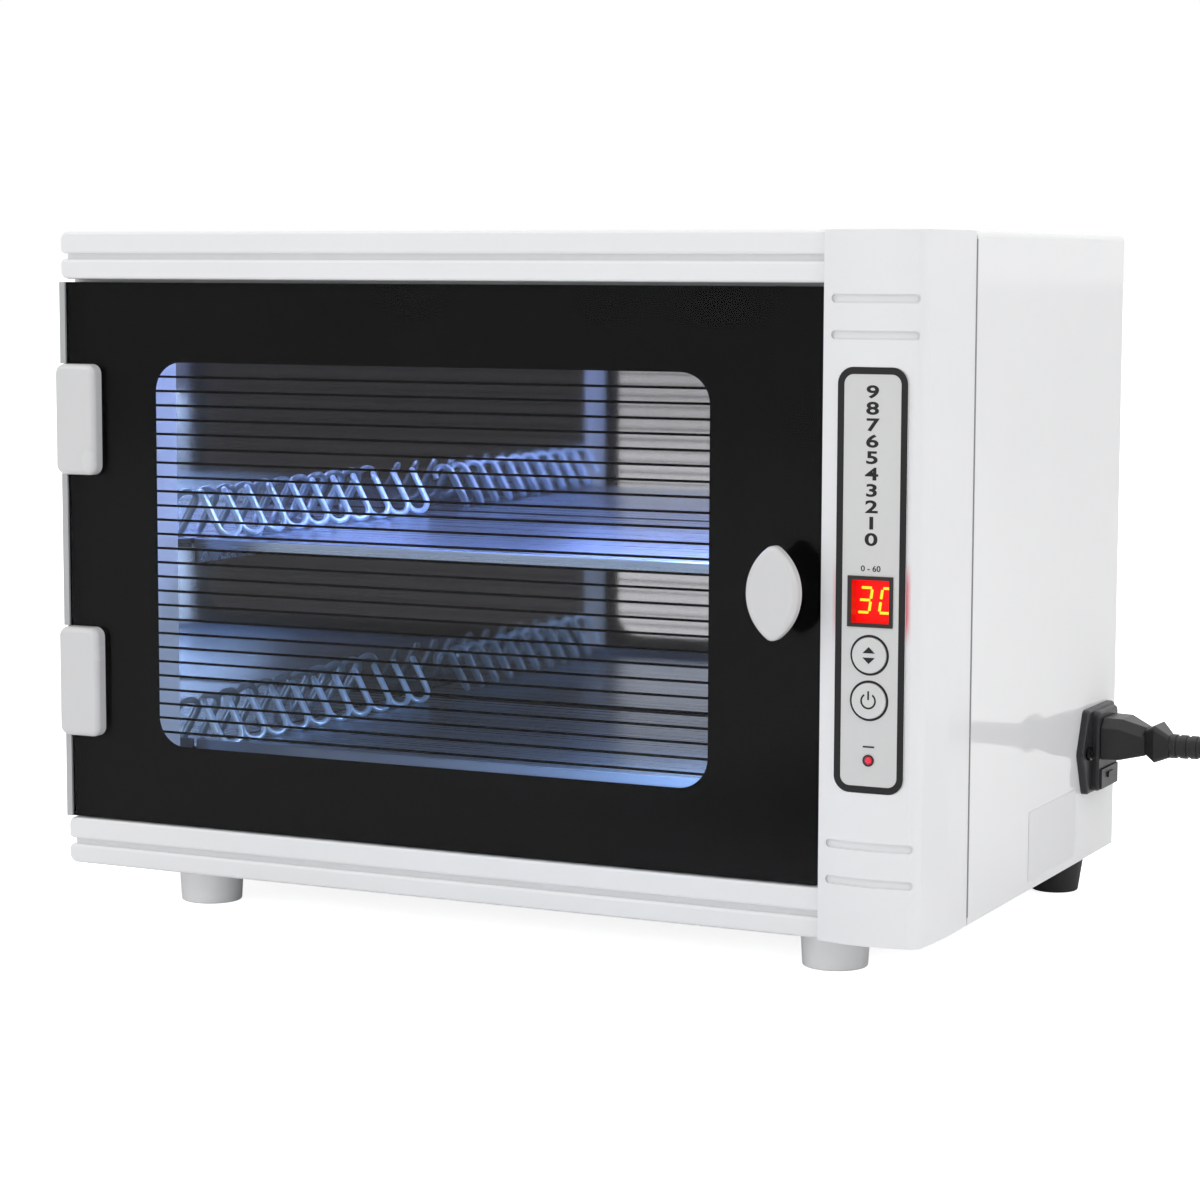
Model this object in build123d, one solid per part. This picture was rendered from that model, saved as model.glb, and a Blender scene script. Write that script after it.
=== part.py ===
from build123d import *
from math import cos, hypot, pi, radians, sin, sqrt, tan
import os

# A tabletop ultraviolet cabinet for nail tools: a white box with a dark glass door
# hinged on the left, a control pod on the right, two steel trays in a mirror-bright
# chamber, a lamp under the chamber's ceiling and a mains inlet on the right side.
#
# Sizes are millimetres. Places inside the cabinet are given as (u, v, w): u to the
# right from the right side face, v to the back from the door's front face and w up
# from the cabinet's underside. The part's own frame is +Z up with the front to -Y,
# and its origin is under the middle of the whole, on the surface it stands on.

# Cabinet
body_width = 375.0
body_height = 260.0
body_depth = 236.8
sheet = 1.0
cover_radius = 2.5
rear_flange = 9.0
pan_height = 12.0
pan_sheet = 1.2
vent_rows = 6
vent_pitch = 9.0
vent_size = (46.0, 3.0)
vent_height_share = 0.72
vent_side_shares = (0.3, 0.7)
rear_screw_shares = (0.25, 0.8)
pan_screw_shares = (0.8, 0.2)

# Front moulding
moulding_depth = 46.0
seam_gap = 1.2
wall = 2.5
frame_front = 9.0
rim_depth = 3.0
jamb_depth = 31.0
rail_top_height = 19.2
rail_low_height = 19.2
rail_overhang = 0.7
rail_groove = 2.3
rail_top_groove_from_edge = 8.9
rail_low_groove_from_edge = 7.8
rail_edge_radius = 1.3
rail_outer_corner = 3.5
rail_groove_corner = 2.0

# Control pod
pod_width = 41.2
pod_side_front = -1.8
pod_crest_front = -5.0
pod_crest_u = -22.0
pod_corner_u = -6.5
pod_corner_front = -3.3
pod_flank_u = -1.4
pod_flank_v = 3.0
pod_turn = (1.2, -1.4)
pod_side_wall = 3.6
recess_length = 34.0
recess_height = 3.2
recess_depth = 1.3
recess_from_bottom = (23.4, 36.8)
recess_from_top = (37.7, 24.6)

# Overlay, display, keys and lamp on the pod
panel_centre_u = -21.0
panel_width = 26.8
panel_low = 56.6
panel_from_top = 49.1
panel_radius = 6.0
panel_thick = 1.0
panel_seat = -3.4
panel_gap = 0.1
display_w = 126.5
display_width = 17.4
display_height = 18.5
display_border = 1.4
bezel_proud = 0.5
pane_proud = 0.2
pane_thick = 0.6
pane_to_module = 6.0
module_size = (22.0, 20.5)
digit_thick = 0.3
digit_height = 9.0
digit_width = 4.4
digit_gap = 2.95
digit_slant = 8.0
segment = 0.95
segment_gap = 0.5
segment_radius = 0.3
key_radius = 6.5
key_gap = 0.1
key_travel = 0.8
key_proud = 1.0
key_edge = 0.4
key_flange_v = (0.2, 1.4)
key_flange_reach = 1.1
key_stem_radius = 1.5
key_stem_end = 5.0
switch_size = 6.0
switch_front = 3.6
switch_room_gap = 0.2
key_heights = {"select": 107.1, "power": 90.5}
lamp_radius = 1.5
lamp_w = 68.6
lamp_proud = 0.4
lamp_dome = 0.9
lamp_foot_v = (0.3, 1.6)
lamp_foot_reach = 0.4
lamp_leg_spacing = 1.8
lamp_leg_radius = 0.3
board_v = 8.0
board_thick = 1.6
board_margin = 5.0
board_overhang = (3.0, 4.0)
post_radius = 2.5
post_inset_low = 8.0
post_inset_high = 5.0

# Door
glass_thick = 5.0
glass_gap_right = 0.8
glass_gap_high = 1.2
glass_gap_low = 0.6
glass_left_margin = 0.6
glass_corner_radius = 1.0
print_thick = 0.15
window_left = 41.9
window_right = 46.3
window_low = 51.4
window_from_top = 52.4
window_radius = 12.0
line_count = 26
line_thick = 1.0
edge_cover = 1.3
edge_wall = 1.0
edge_lap = 1.4

# Hinges
hinge_from_bottom = 76.6
hinge_from_top = 76.0
clamp_width = 19.3
clamp_height = 45.0
clamp_reach = 6.0
clamp_back = 2.0
clamp_radius = 4.0
clamp_front_radius = 2.5
clamp_proud = 0.6
clamp_part_gap = 0.2
clamp_heart_front = 1.0
jaw_inset = (5.0, 3.0)
pin_radius = 1.5
pin_gap = 0.05
pin_inset = 2.4
pin_end_inset = 1.5
knuckle_radius = 3.0
knuckle_height = 26.0
knuckle_gap = 0.6
bracket_sheet = 1.5
bracket_width = 22.0
bracket_arm = 2.0
rivet_radius = 2.4
rivet_head = 0.3
rivet_share = 0.6

# Knob, catch and door switch
knob_u = -54.6
knob_w = 128.9
knob_width = 20.6
knob_height = 36.0
knob_thick = 5.0
knob_reach = 17.5
knob_round = 2.0
knob_tip_radius = 3.5
knob_stem_radius = 3.6
knob_stem_flare = 0.4
knob_screw_radius = 2.0
knob_screw_head = 2.0
knob_pilot_end = 5.0
knob_hole_gap = 0.3
catch_w = 88.0
catch_u = -63.0
catch_width = 14.0
catch_height = 32.0
strike_thick = 1.2
catch_gap = 0.3
catch_depth = 14.0
catch_ear = 1.2
catch_ear_reach = (2.0, 4.0)
plunger_w = 190.0
plunger_u = -62.0
plunger_radius = 2.0
plunger_travel = 1.5
plunger_back = 6.0
plunger_gap = 0.15
plunger_tip_radius = 0.6
collar_thick = 1.5
collar_reach = 1.0
switch_box = (14.0, 16.0, 20.0)
switch_guide_end = 4.0

# Chamber, trays and tool racks
chamber_left_inset = 35.0
chamber_right = -78.0
chamber_low = 42.5
opening_from_top = 43.0
chamber_from_top = 28.0
chamber_back = 223.0
liner_flange = 9.0
tray_gap = 1.0
tray_sheet = 1.0
tray_front = 42.0
tray_back = 219.0
shelf_top = 133.0
shelf_lip = 4.0
tray_top = 45.0
tray_lip = 3.5
slide_gap = 0.3
ledge_width = 8.0
ledge_height = 9.0
ledge_setback = 2.0
tray_edge_radius = 0.6
rack_wire = 2.6
rack_turns = 11
rack_pitch = 16.5
rack_straight = 11.0
rack_thickness = 5.0
rack_lean = 30.0
rack_skew = 3.0
rack_start = 45.0
rack_gap = 0.5

# Ultraviolet lamp
tube_radius = 8.0
tube_end_gap = 25.0
tube_cap = 9.0
tube_cap_step = 0.3
tube_v = 128.0
tube_drop = 13.0
tube_pin_radius = 1.2
tube_pin_offset = 2.5
tube_pin_length = 7.0
holder_thick = 11.0
holder_gap = 0.3
holder_pin_room = 0.6
holder_depth = 24.0
holder_bore_radius = 4.2
holder_slot = 3.2
holder_drop = 26.0
reflector_width = 62.0
reflector_wing = 9.0
reflector_inset = 11.0
reflector_sheet = 0.8
reflector_angle = 40.0
ballast_width = 24.0
ballast_depth = 110.0
ballast_height = 36.0
ballast_radius = 2.0
ballast_foot = (1.5, 8.0)
ballast_v = 70.0
ballast_w = 110.0

# Mains inlet, fuse drawer and lead
inlet_v = 208.2
inlet_w = 45.8
inlet_half_ears = 26.2
inlet_half_flat = 18.4
inlet_flange_height = 35.4
inlet_flange = 3.0
inlet_proud = 6.0
bezel_width = 27.6
bezel_height = 33.6
inlet_depth = 24.0
inlet_ear_radius = 3.0
inlet_flange_edge = 1.2
bezel_radius = 3.0
bezel_edge = 1.2
neck_inset = 0.8
neck_gap = 0.3
neck_radius = 2.0
inlet_screw_gap = 0.6
socket_w = 51.0
socket_width = 24.0
socket_height = 16.6
socket_depth = 18.0
socket_gap = 0.4
socket_corner = 4.0
contact_size = (2.0, 4.0)
contact_gap = 0.2
contact_spacing = 7.0
contact_heights = (-1.5, 2.5)
contact_length = 14.0
contact_tab = 6.0
drawer_w = 34.0
drawer_width = 23.2
drawer_height = 8.2
drawer_depth = 20.0
drawer_gap = 0.2
drawer_lip = 0.9
drawer_grip = 0.8
grip_size = (8.0, 2.4)
grip_height = 1.0
fuse_gap = 0.1
fuse_cap = 5.0
fuse_cap_step = 0.3
fuse_radius = 2.5
fuse_length = 20.0
connector_end = 23.5
collar_end = 33.0
connector_edge = 0.9
connector_sections = ((0.0, 24.6, 17.2, 0.0), (0.45, 24.0, 16.8, 0.0), (1.0, 14.2, 11.4, -0.9))
collar_radius = 2.2
collar_sections = ((0.0, 13.6, 10.8, -0.9), (0.45, 18.0, 15.6, -1.3), (1.0, 10.0, 9.4, -2.6))
relief_end = 57.0
relief_drop = 2.6
relief_radius = 5.1
relief_ribs = 5
relief_wall = 0.6
relief_taper = 0.5
rib_share = 0.62
rib_step = 0.12
cord_diameter = 7.0
coil_turns = 5.75
coil_layers = 4
coil_outer_radius = 42.0
coil_pitch = 8.0
coil_layer_height = 7.5
coil_start = (182.0, 186.0)
coil_lead_in = 20.0
tail_lead_out = 22.0
plug_lead_in = 22.0
plug_before_coil = 62.0
cord_floor = 0.1
# Each bend of the free cord: out and back from the relief's end, and its share of the drop
run_bends = (
    (20.0, 0.0, 0.0), (36.5, -1.0, 0.125), (48.0, -3.0, 0.353),
    (52.6, -5.0, 0.639), (64.0, -9.0, 0.867), (80.4, -14.5, 0.992),
)
plug_radius = 18.5
plug_body = 34.0
plug_grip = 26.0
plug_edge = 2.0
plug_grip_wall = 1.6
plug_grip_share = 0.62
plug_pin_radius = 2.4
plug_pin_length = 19.0
plug_pin_spacing = 19.0

# Feet and screws
foot_height = 14.5
front_foot_radius = (13.2, 12.4)
rear_foot_radius = (11.9, 9.7)
front_foot_left_inset = 54.4
front_foot_right_inset = 43.7
front_foot_v = 23.0
rear_foot_inset = 13.5
rear_foot_v = 199.0
foot_screw_radius = 2.0
foot_head_radius = 4.0
foot_bore_depth = 8.0
foot_edge = 0.8
foot_screw_end = 4.0
foot_head_gap = 0.4
foot_head = 2.4
screw_radius = 1.5
screw_head_radius = 2.8
screw_head = 1.6
screw_length = 6.0
inlet_screw_length = 4.0
hole_gap = 0.1

# The part's frame, from the pieces that reach furthest each way
edge_reach = edge_cover - glass_left_margin
inlet_reach = inlet_proud + drawer_lip + drawer_grip
right_x = (body_width + max(edge_reach, rail_overhang) - inlet_reach) / 2
front_y = (knob_reach - body_depth - screw_head) / 2
left_u = -body_width
glass_left = left_u + glass_left_margin
glass_right = -pod_width - glass_gap_right
glass_low = rail_low_height + glass_gap_low
glass_high = body_height - rail_top_height - glass_gap_high
hinge_u = left_u + pin_inset
hinge_v = glass_thick / 2
print_back = glass_thick + print_thick
relief_w = socket_w - relief_drop

# Places that keep their distance from the body's sides and top
recess_centres = (*recess_from_bottom, *(body_height - drop for drop in recess_from_top))
panel_high = body_height - panel_from_top
hinge_heights = (hinge_from_bottom, body_height - hinge_from_top)
window_width = glass_right - glass_left - window_left - window_right
window_height = body_height - window_low - window_from_top
chamber_left = left_u + chamber_left_inset
opening_high = body_height - opening_from_top
chamber_high = body_height - chamber_from_top
tube_w = chamber_high - tube_drop
tube_length = chamber_right - chamber_left - 2 * tube_end_gap
reflector_length = tube_length - 2 * reflector_inset

parts = {}


def at(u, v, w):
    """A place in the cabinet as a point of the part's own frame."""
    return Vector(right_x + u, front_y + v, foot_height + w)


def block(u, v, w):
    """A box between two values along each of u, v and w."""
    low, high = at(u[0], v[0], w[0]), at(u[1], v[1], w[1])
    size = high - low
    return Pos(*((low + high) * 0.5)) * Box(size.X, size.Y, size.Z)


def rod(start, end, radius, end_radius=None):
    """A round bar or cone between two places in the cabinet."""
    first, last = at(*start), at(*end)
    length = (last - first).length
    plane = Plane(origin=first, z_dir=last - first)
    align = (Align.CENTER, Align.CENTER, Align.MIN)
    if end_radius is None or end_radius == radius:
        return plane * Cylinder(radius, length, align=align)
    return plane * Cone(radius, end_radius, length, align=align)


def facing_front(sketch, u, w, v_back, v_front):
    """A sketch drawn as seen from the front, made solid between two depths."""
    plane = Plane(origin=at(u, v_back, w), x_dir=(1, 0, 0), z_dir=(0, -1, 0))
    return extrude(plane * sketch, v_back - v_front, dir=(0, -1, 0))


def facing_right(sketch, v, w, u_in, u_out):
    """A sketch drawn as seen from the right, made solid between two values of u."""
    plane = Plane(origin=at(u_in, v, w), x_dir=(0, 1, 0), z_dir=(1, 0, 0))
    return extrude(plane * sketch, u_out - u_in, dir=(1, 0, 0))


def soft_edges(shape, radius, *picks):
    """Round the picked edges."""
    return fillet([edge for pick in picks for edge in pick(shape)], radius)


def front_edges(shape):
    """The edges of a shape's front face."""
    return shape.faces().sort_by(Axis.Y)[0].edges()


def keep(name, shape):
    """Store a sub-part under its node name."""
    parts[name] = shape


# Covers and panels
def make_cover():
    top_edges = lambda s: s.edges().filter_by(Axis.Y).group_by(Axis.Z)[-1]
    v = (moulding_depth + seam_gap, body_depth)
    outer = soft_edges(block((left_u, 0), v, (0, body_height)), cover_radius, top_edges)
    inner = block((left_u + sheet, -sheet), v, (-1, body_height - sheet))
    inner = soft_edges(inner, cover_radius - sheet, top_edges)
    flange = inner & block((left_u, 0), (body_depth - sheet, body_depth), (0, body_height))
    flange -= block(
        (left_u + sheet + rear_flange, -sheet - rear_flange), v, (-1, body_height - sheet - rear_flange)
    )
    shell = outer - inner + flange
    inset = 2 * (neck_inset - neck_gap)
    hole = RectangleRounded(bezel_width - inset, bezel_height - inset, neck_radius)
    shell -= facing_right(hole, inlet_v, inlet_w, -2 * sheet, 1)
    for v_screw in inlet_screw_places():
        shell -= rod((-2 * sheet, v_screw, inlet_w), (1, v_screw, inlet_w), screw_radius + hole_gap)
    return drilled(shell, rear_screw_places()[:4])


def drilled(shape, places):
    """A panel with its screw holes for the rear."""
    for u, w in places:
        depth = (body_depth - screw_length - 1, body_depth + 1)
        shape -= rod((u, depth[0], w), (u, depth[1], w), screw_radius + hole_gap)
    return shape


def inlet_screw_places():
    reach = (inlet_half_flat + bezel_width / 2) / 2 + screw_head_radius + inlet_screw_gap
    return (inlet_v - reach, inlet_v + reach)


def rear_screw_places():
    """Screws of the rear panel: four in the cover's flange and two in the base pan."""
    edge = sheet + rear_flange / 2
    sides = [(u, body_height * share) for u in (left_u + edge, -edge) for share in rear_screw_shares]
    return sides + [(left_u * share, pan_height / 2) for share in pan_screw_shares]


def make_rear_panel():
    v = (body_depth - 2 * sheet, body_depth - sheet)
    panel = block((left_u + sheet, -sheet), v, (0, body_height - sheet))
    corners = lambda s: s.edges().filter_by(Axis.Y).group_by(Axis.Z)[-1]
    panel = soft_edges(panel, cover_radius - sheet, corners)
    for side in vent_side_shares:
        for row in range(vent_rows):
            slot = SlotOverall(*vent_size)
            w = body_height * vent_height_share + (row - (vent_rows - 1) / 2) * vent_pitch
            panel -= facing_front(slot, left_u * side, w, body_depth, body_depth - 3 * sheet)
    return drilled(panel, rear_screw_places())


def make_base_pan():
    back = body_depth - 2 * sheet
    pan = block((left_u + sheet, -sheet), (moulding_depth, back), (0, pan_height))
    inside_u = (left_u + sheet + pan_sheet, -sheet - pan_sheet)
    pan -= block(inside_u, (moulding_depth + pan_sheet, back - pan_sheet), (pan_sheet, pan_height + 1))
    for u, v, _ in foot_places()[2:]:
        pan -= rod((u, v, -1), (u, v, pan_sheet + 1), foot_screw_radius + hole_gap)
    return drilled(pan, rear_screw_places()[4:])


# Front moulding
def make_front_frame():
    u, w = (left_u, -pod_width), (0, body_height)
    corners = lambda s: s.edges().filter_by(Axis.Y).group_by(Axis.X)[0]
    outer = soft_edges(block(u, (frame_front, moulding_depth), w), cover_radius, corners)
    cavity = block(
        (u[0] + wall, u[1] - wall), (frame_front + wall, moulding_depth + 1), (wall, body_height - wall)
    )
    tube_u, tube_w = (chamber_left - wall, chamber_right + wall), (chamber_low - wall, opening_high + wall)
    cavity -= block(tube_u, (frame_front, jamb_depth), tube_w)
    frame = outer - cavity + block(tube_u, (frame_front - rim_depth, frame_front), tube_w)
    opening_v = (frame_front - rim_depth - 1, moulding_depth + 1)
    frame -= block((chamber_left, chamber_right), opening_v, (chamber_low, opening_high))
    catch_hole = Rectangle(catch_width, catch_height)
    frame -= facing_front(catch_hole, catch_u, catch_w, frame_front + wall + 1, frame_front - 1)
    frame -= rod(
        (plunger_u, frame_front - 1, plunger_w), (plunger_u, frame_front + wall + 1, plunger_w),
        plunger_radius + plunger_gap,
    )
    for u_foot, v_foot, _ in foot_places()[:2]:
        top = wall + foot_screw_end + 1
        frame -= rod((u_foot, v_foot, -1), (u_foot, v_foot, top), foot_screw_radius + hole_gap)
    return frame


def make_rail(low, high, groove_low):
    """A rail with two bands and a groove that runs on round its left end."""
    u = (left_u - rail_overhang, -pod_width)
    corners = lambda s: s.edges().filter_by(Axis.Y).group_by(Axis.X)[0].sort_by(Axis.Z)
    bands = []
    for w, radii in (
        ((low, groove_low), (rail_outer_corner, rail_groove_corner)),
        ((groove_low + rail_groove, high), (rail_groove_corner, rail_outer_corner)),
    ):
        band = block(u, (0, frame_front), w)
        band = soft_edges(band, radii[0], lambda s: corners(s)[:1])
        band = soft_edges(band, radii[1], lambda s: corners(s)[-1:])
        bands.append(soft_edges(band, rail_edge_radius, lambda s: front_edges(s).sort_by(Axis.X)[:-1]))
    core = block((u[0] + rail_groove, u[1]), (rail_groove, frame_front), (low + 1, high - 1))
    return bands[0] + bands[1] + core


def pod_body():
    """The pod as a full solid: a bowed front, a round corner and a flat flank."""
    pen_up = at(0, 0, 0)
    spot = lambda u, v: (pen_up.X + u, pen_up.Y + v, pen_up.Z)
    left, crest = spot(-pod_width, pod_side_front), spot(pod_crest_u, pod_crest_front)
    corner, flank = spot(pod_corner_u, pod_corner_front), spot(pod_flank_u, pod_flank_v)
    turn_u, turn_v = (pod_corner_u + pod_flank_u) / 2, (pod_corner_front + pod_flank_v) / 2
    turn = spot(turn_u + pod_turn[0], turn_v + pod_turn[1])
    side, back = spot(0, moulding_depth / 2), spot(0, moulding_depth)
    outline = [
        ThreePointArc(left, crest, corner),
        ThreePointArc(corner, turn, flank),
        Polyline(flank, side, back, spot(-pod_width, moulding_depth), left),
    ]
    edges = [edge for line in outline for edge in line.edges()]
    return extrude(Face(Wire(edges)), body_height, dir=(0, 0, 1))


def make_pod():
    solid = pod_body()
    pod = solid
    for w in recess_centres:
        slot = SlotOverall(recess_length, recess_height)
        cutter = facing_front(slot, panel_centre_u, w, 0, pod_crest_front - 2)
        pod -= cutter - Pos(0, recess_depth, 0) * solid
    seat_size = (panel_width + 2 * panel_gap, panel_high - panel_low + 2 * panel_gap)
    face = RectangleRounded(*seat_size, panel_radius)
    pod -= facing_front(face, panel_centre_u, (panel_low + panel_high) / 2, panel_seat, pod_crest_front - 2)
    pod -= block(
        (-pod_width + wall, -pod_side_wall), (0, moulding_depth + 1), (wall, body_height - wall)
    )
    for u in board_posts()[0]:
        for w in board_posts()[1]:
            pod += rod((u, -0.5, w), (u, board_v, w), post_radius)
    return panel_holes(pod, 1, pod_crest_front - 2)


def board_posts():
    """Where the board's posts stand, in u and in w."""
    half = (pod_width - 2 * wall) / 2 - board_margin
    middle = -pod_width / 2
    return (middle - half, middle + half), (panel_low + post_inset_low, panel_high - post_inset_high)


def panel_holes(shape, v_back, v_front):
    """A front skin with its holes for the display, the keys and the power lamp."""
    hole = Rectangle(display_width, display_height)
    shape -= facing_front(hole, panel_centre_u, display_w, v_back, v_front)
    for w in key_heights.values():
        shape -= rod((panel_centre_u, v_back, w), (panel_centre_u, v_front, w), key_radius + key_gap)
    lamp = ((panel_centre_u, v_back, lamp_w), (panel_centre_u, v_front, lamp_w))
    return shape - rod(*lamp, lamp_radius + 0.1)


def make_overlay():
    face = RectangleRounded(panel_width, panel_high - panel_low, panel_radius)
    middle = (panel_low + panel_high) / 2
    sheet_v = (panel_seat, panel_seat - panel_thick)
    panel = facing_front(face, panel_centre_u, middle, *sheet_v)
    return panel_holes(panel, panel_seat + 1, panel_seat - panel_thick - 1)


# Display, keys and board
def make_display():
    outer = Rectangle(display_width, display_height)
    inner = Rectangle(display_width - 2 * display_border, display_height - 2 * display_border)
    place = (panel_centre_u, display_w)
    keep("display_bezel", facing_front(outer - inner, *place, 0, panel_seat - panel_thick - bezel_proud))
    pane_front = panel_seat - panel_thick - pane_proud
    keep("display_window", facing_front(inner, *place, pane_front + pane_thick, pane_front))
    module_front = pane_front + pane_to_module
    keep("display_module", facing_front(Rectangle(*module_size), *place, board_v, module_front))
    keep("display_digits", make_digits(module_front))


def make_digits(module_front):
    """Two slanted seven-segment figures that read 30, on the module's face."""
    half_w, half_h = digit_width / 2, digit_height / 2
    bar, post = digit_width - segment_gap, half_h - segment - 0.1
    segments = {
        "top": (0, half_h, bar, segment), "middle": (0, 0, bar, segment),
        "bottom": (0, -half_h, bar, segment),
        "upper right": (half_w, half_h / 2, segment, post),
        "lower right": (half_w, -half_h / 2, segment, post),
        "upper left": (-half_w, half_h / 2, segment, post),
        "lower left": (-half_w, -half_h / 2, segment, post),
    }
    left_out = {"3": ("upper left", "lower left"), "0": ("middle",)}
    offset = (digit_width + segment + digit_gap) / 2
    solids = []
    for figure, shift in (("3", -offset), ("0", offset)):
        for name, (x, y, width, height) in segments.items():
            if name in left_out[figure]:
                continue
            turn = -digit_slant if height > width else 0
            across = x + shift + y * tan(radians(digit_slant))
            bar_face = Pos(across, y) * Rot(0, 0, turn) * RectangleRounded(width, height, segment_radius)
            depth = (module_front, module_front - digit_thick)
            solids.append(facing_front(bar_face, panel_centre_u, display_w, *depth))
    return Compound(children=solids)


def make_key(w):
    """A round key: its cap, the flange that keeps it in and the stem to its switch."""
    place = lambda v: (panel_centre_u, v, w)
    near, far = key_flange_v
    cap = rod(place(near), place(panel_seat - panel_thick - key_proud), key_radius)
    cap = soft_edges(cap, key_edge, front_edges)
    flange = rod(place(far), place(near), key_radius + key_flange_reach)
    return cap + flange + rod(place(key_stem_end), place(far), key_stem_radius)


def make_switch(w):
    """The small push switch on the board that a key's stem works."""
    body = facing_front(Rectangle(switch_size, switch_size), panel_centre_u, w, board_v, switch_front)
    deep = key_stem_end + key_travel + 2 * switch_room_gap
    room = (panel_centre_u, switch_front - 1, w), (panel_centre_u, deep, w)
    return body - rod(*room, key_stem_radius + switch_room_gap)


def make_power_lamp():
    """A small indicator with a domed top, a foot flange and two legs."""
    place = lambda v, u=panel_centre_u: (u, v, lamp_w)
    near, far = lamp_foot_v
    lamp = rod(place(far), place(panel_seat - panel_thick - lamp_proud), lamp_radius)
    lamp = soft_edges(lamp, lamp_dome, front_edges)
    lamp += rod(place(far), place(near), lamp_radius + lamp_foot_reach)
    for side in (-0.5, 0.5):
        u = panel_centre_u + side * lamp_leg_spacing
        lamp += rod(place(board_v, u), place(far - 0.1, u), lamp_leg_radius)
    return lamp


def make_board():
    u_posts, w_posts = board_posts()
    over_u, over_w = board_overhang
    u, w = (u_posts[0] - over_u, u_posts[1] + over_u), (w_posts[0] - over_w, w_posts[1] + over_w)
    return block(u, (board_v, board_v + board_thick), w)


# Door
def window_centre():
    return glass_left + window_left + window_width / 2, window_low + window_height / 2


def make_glass():
    glass = block((glass_left, glass_right), (0, glass_thick), (glass_low, glass_high))
    corners = lambda s: s.edges().filter_by(Axis.Y)
    glass = soft_edges(glass, glass_corner_radius, corners)
    for w in hinge_heights:
        glass -= glass_notch(w)
    return glass - knob_hole()


def make_print():
    """The dark print behind the glass, with the window's thin lines in one piece."""
    layer = block((glass_left, glass_right), (glass_thick, print_back), (glass_low, glass_high))
    pitch = window_height / (line_count + 1)
    u, w = window_centre()
    window = RectangleRounded(window_width, window_height, window_radius)
    for line in range(line_count):
        window -= Pos(0, -window_height / 2 + (line + 1) * pitch) * Rectangle(window_width, line_thick)
    layer -= facing_front(window, u, w, print_back + 1, glass_thick - 1)
    layer -= knob_hole()
    for hinge_w in hinge_heights:
        layer -= glass_notch(hinge_w)
        layer -= clamp_jaw(hinge_w)
    return layer


def make_edge_strip():
    """A channel over the glass's hinge side, cut away where the hinges are."""
    v = (-edge_wall, print_back + edge_wall)
    u = (left_u - edge_reach, glass_left + edge_lap)
    strip = block(u, v, (glass_low, glass_high))
    strip -= block((glass_left, 0), (0, print_back), (0, body_height))
    for w in hinge_heights:
        half = clamp_height / 2
        strip -= block((u[0] - 1, u[1] + 1), (v[0] - 1, v[1] + 1), (w - half, w + half))
    return strip


def hinge_room(w):
    """The room that a hinge's knuckle and arm need as the door swings."""
    half = knuckle_height / 2 + knuckle_gap
    right = hinge_u + knuckle_radius + knuckle_gap
    front = hinge_v - knuckle_radius - 2 * knuckle_gap
    return block((left_u - 5, right), (front, frame_front + 1), (w - half, w + half))


def glass_notch(w):
    """The notch in the glass's edge that a hinge fills."""
    half = clamp_height / 2 - clamp_radius
    right = hinge_u + knuckle_radius + knuckle_gap
    return block((left_u - 5, right), (-1, frame_front), (w - half, w + half))


def clamp_jaw(w):
    """The clamp's rear jaw, behind the glass."""
    half = clamp_height / 2
    v = (glass_thick, glass_thick + clamp_back)
    across, up = jaw_inset
    return block((glass_left, glass_left + clamp_width - across), v, (w - half + up, w + half - up))


def make_clamp(w):
    half = clamp_height / 2
    u = (left_u - clamp_proud, left_u - clamp_proud + clamp_width)
    clamp = block(u, (-clamp_reach, 0), (w - half, w + half))
    corners = lambda s: s.edges().filter_by(Axis.Y)
    clamp = soft_edges(clamp, clamp_radius, corners)
    clamp = soft_edges(clamp, clamp_front_radius, front_edges)
    heart = half - clamp_radius - clamp_part_gap
    heart_u = (u[0], hinge_u + knuckle_radius + knuckle_gap - clamp_part_gap)
    clamp += block(heart_u, (-clamp_heart_front, glass_thick + clamp_back), (w - heart, w + heart))
    clamp = clamp + clamp_jaw(w) - hinge_room(w)
    return clamp - rod(*hinge_pin_ends(w), pin_radius)


def hinge_pin_ends(w):
    reach = clamp_height / 2 - clamp_radius - pin_end_inset
    return (hinge_u, hinge_v, w - reach), (hinge_u, hinge_v, w + reach)


def make_bracket(w):
    """A hinge's fixed half: a plate on the frame, an arm and the knuckle."""
    half = knuckle_height / 2
    plate_u = (left_u, left_u + bracket_width)
    plate = block(plate_u, (frame_front - bracket_sheet, frame_front), (w - half, w + half))
    arm_u = (hinge_u - bracket_arm / 2, hinge_u + bracket_arm / 2)
    arm = block(arm_u, (hinge_v, frame_front), (w - half, w + half))
    knuckle = rod((hinge_u, hinge_v, w - half), (hinge_u, hinge_v, w + half), knuckle_radius)
    bracket = plate + arm + knuckle
    for side in (-1, 1):
        rivet = (left_u + bracket_width * rivet_share, frame_front - bracket_sheet, w + side * half / 2)
        bracket += rod(rivet, (rivet[0], rivet[1] - rivet_head, rivet[2]), rivet_radius)
    return bracket - rod(*hinge_pin_ends(w), pin_radius + pin_gap)


def lens_outline(width, height, tip_radius):
    """Two arcs that meet in a rounded tip above and below."""
    radius = (height**2 + width**2) / (4 * width)
    shift = radius - width / 2
    lens = Pos(-shift, 0) * Circle(radius) & Pos(shift, 0) * Circle(radius)
    return fillet(lens.vertices(), tip_radius)


def make_knob():
    disc_back = knob_thick - knob_reach
    outline = lens_outline(knob_width, knob_height, knob_tip_radius)
    disc = facing_front(outline, knob_u, knob_w, disc_back, -knob_reach)
    disc = soft_edges(disc, knob_round, front_edges)
    place = lambda v: (knob_u, v, knob_w)
    stem = rod(place(0), place(disc_back - 0.5), knob_stem_radius + knob_stem_flare, knob_stem_radius)
    return disc + stem - rod(place(1), place(knob_pilot_end - knob_reach), knob_screw_radius)


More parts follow.
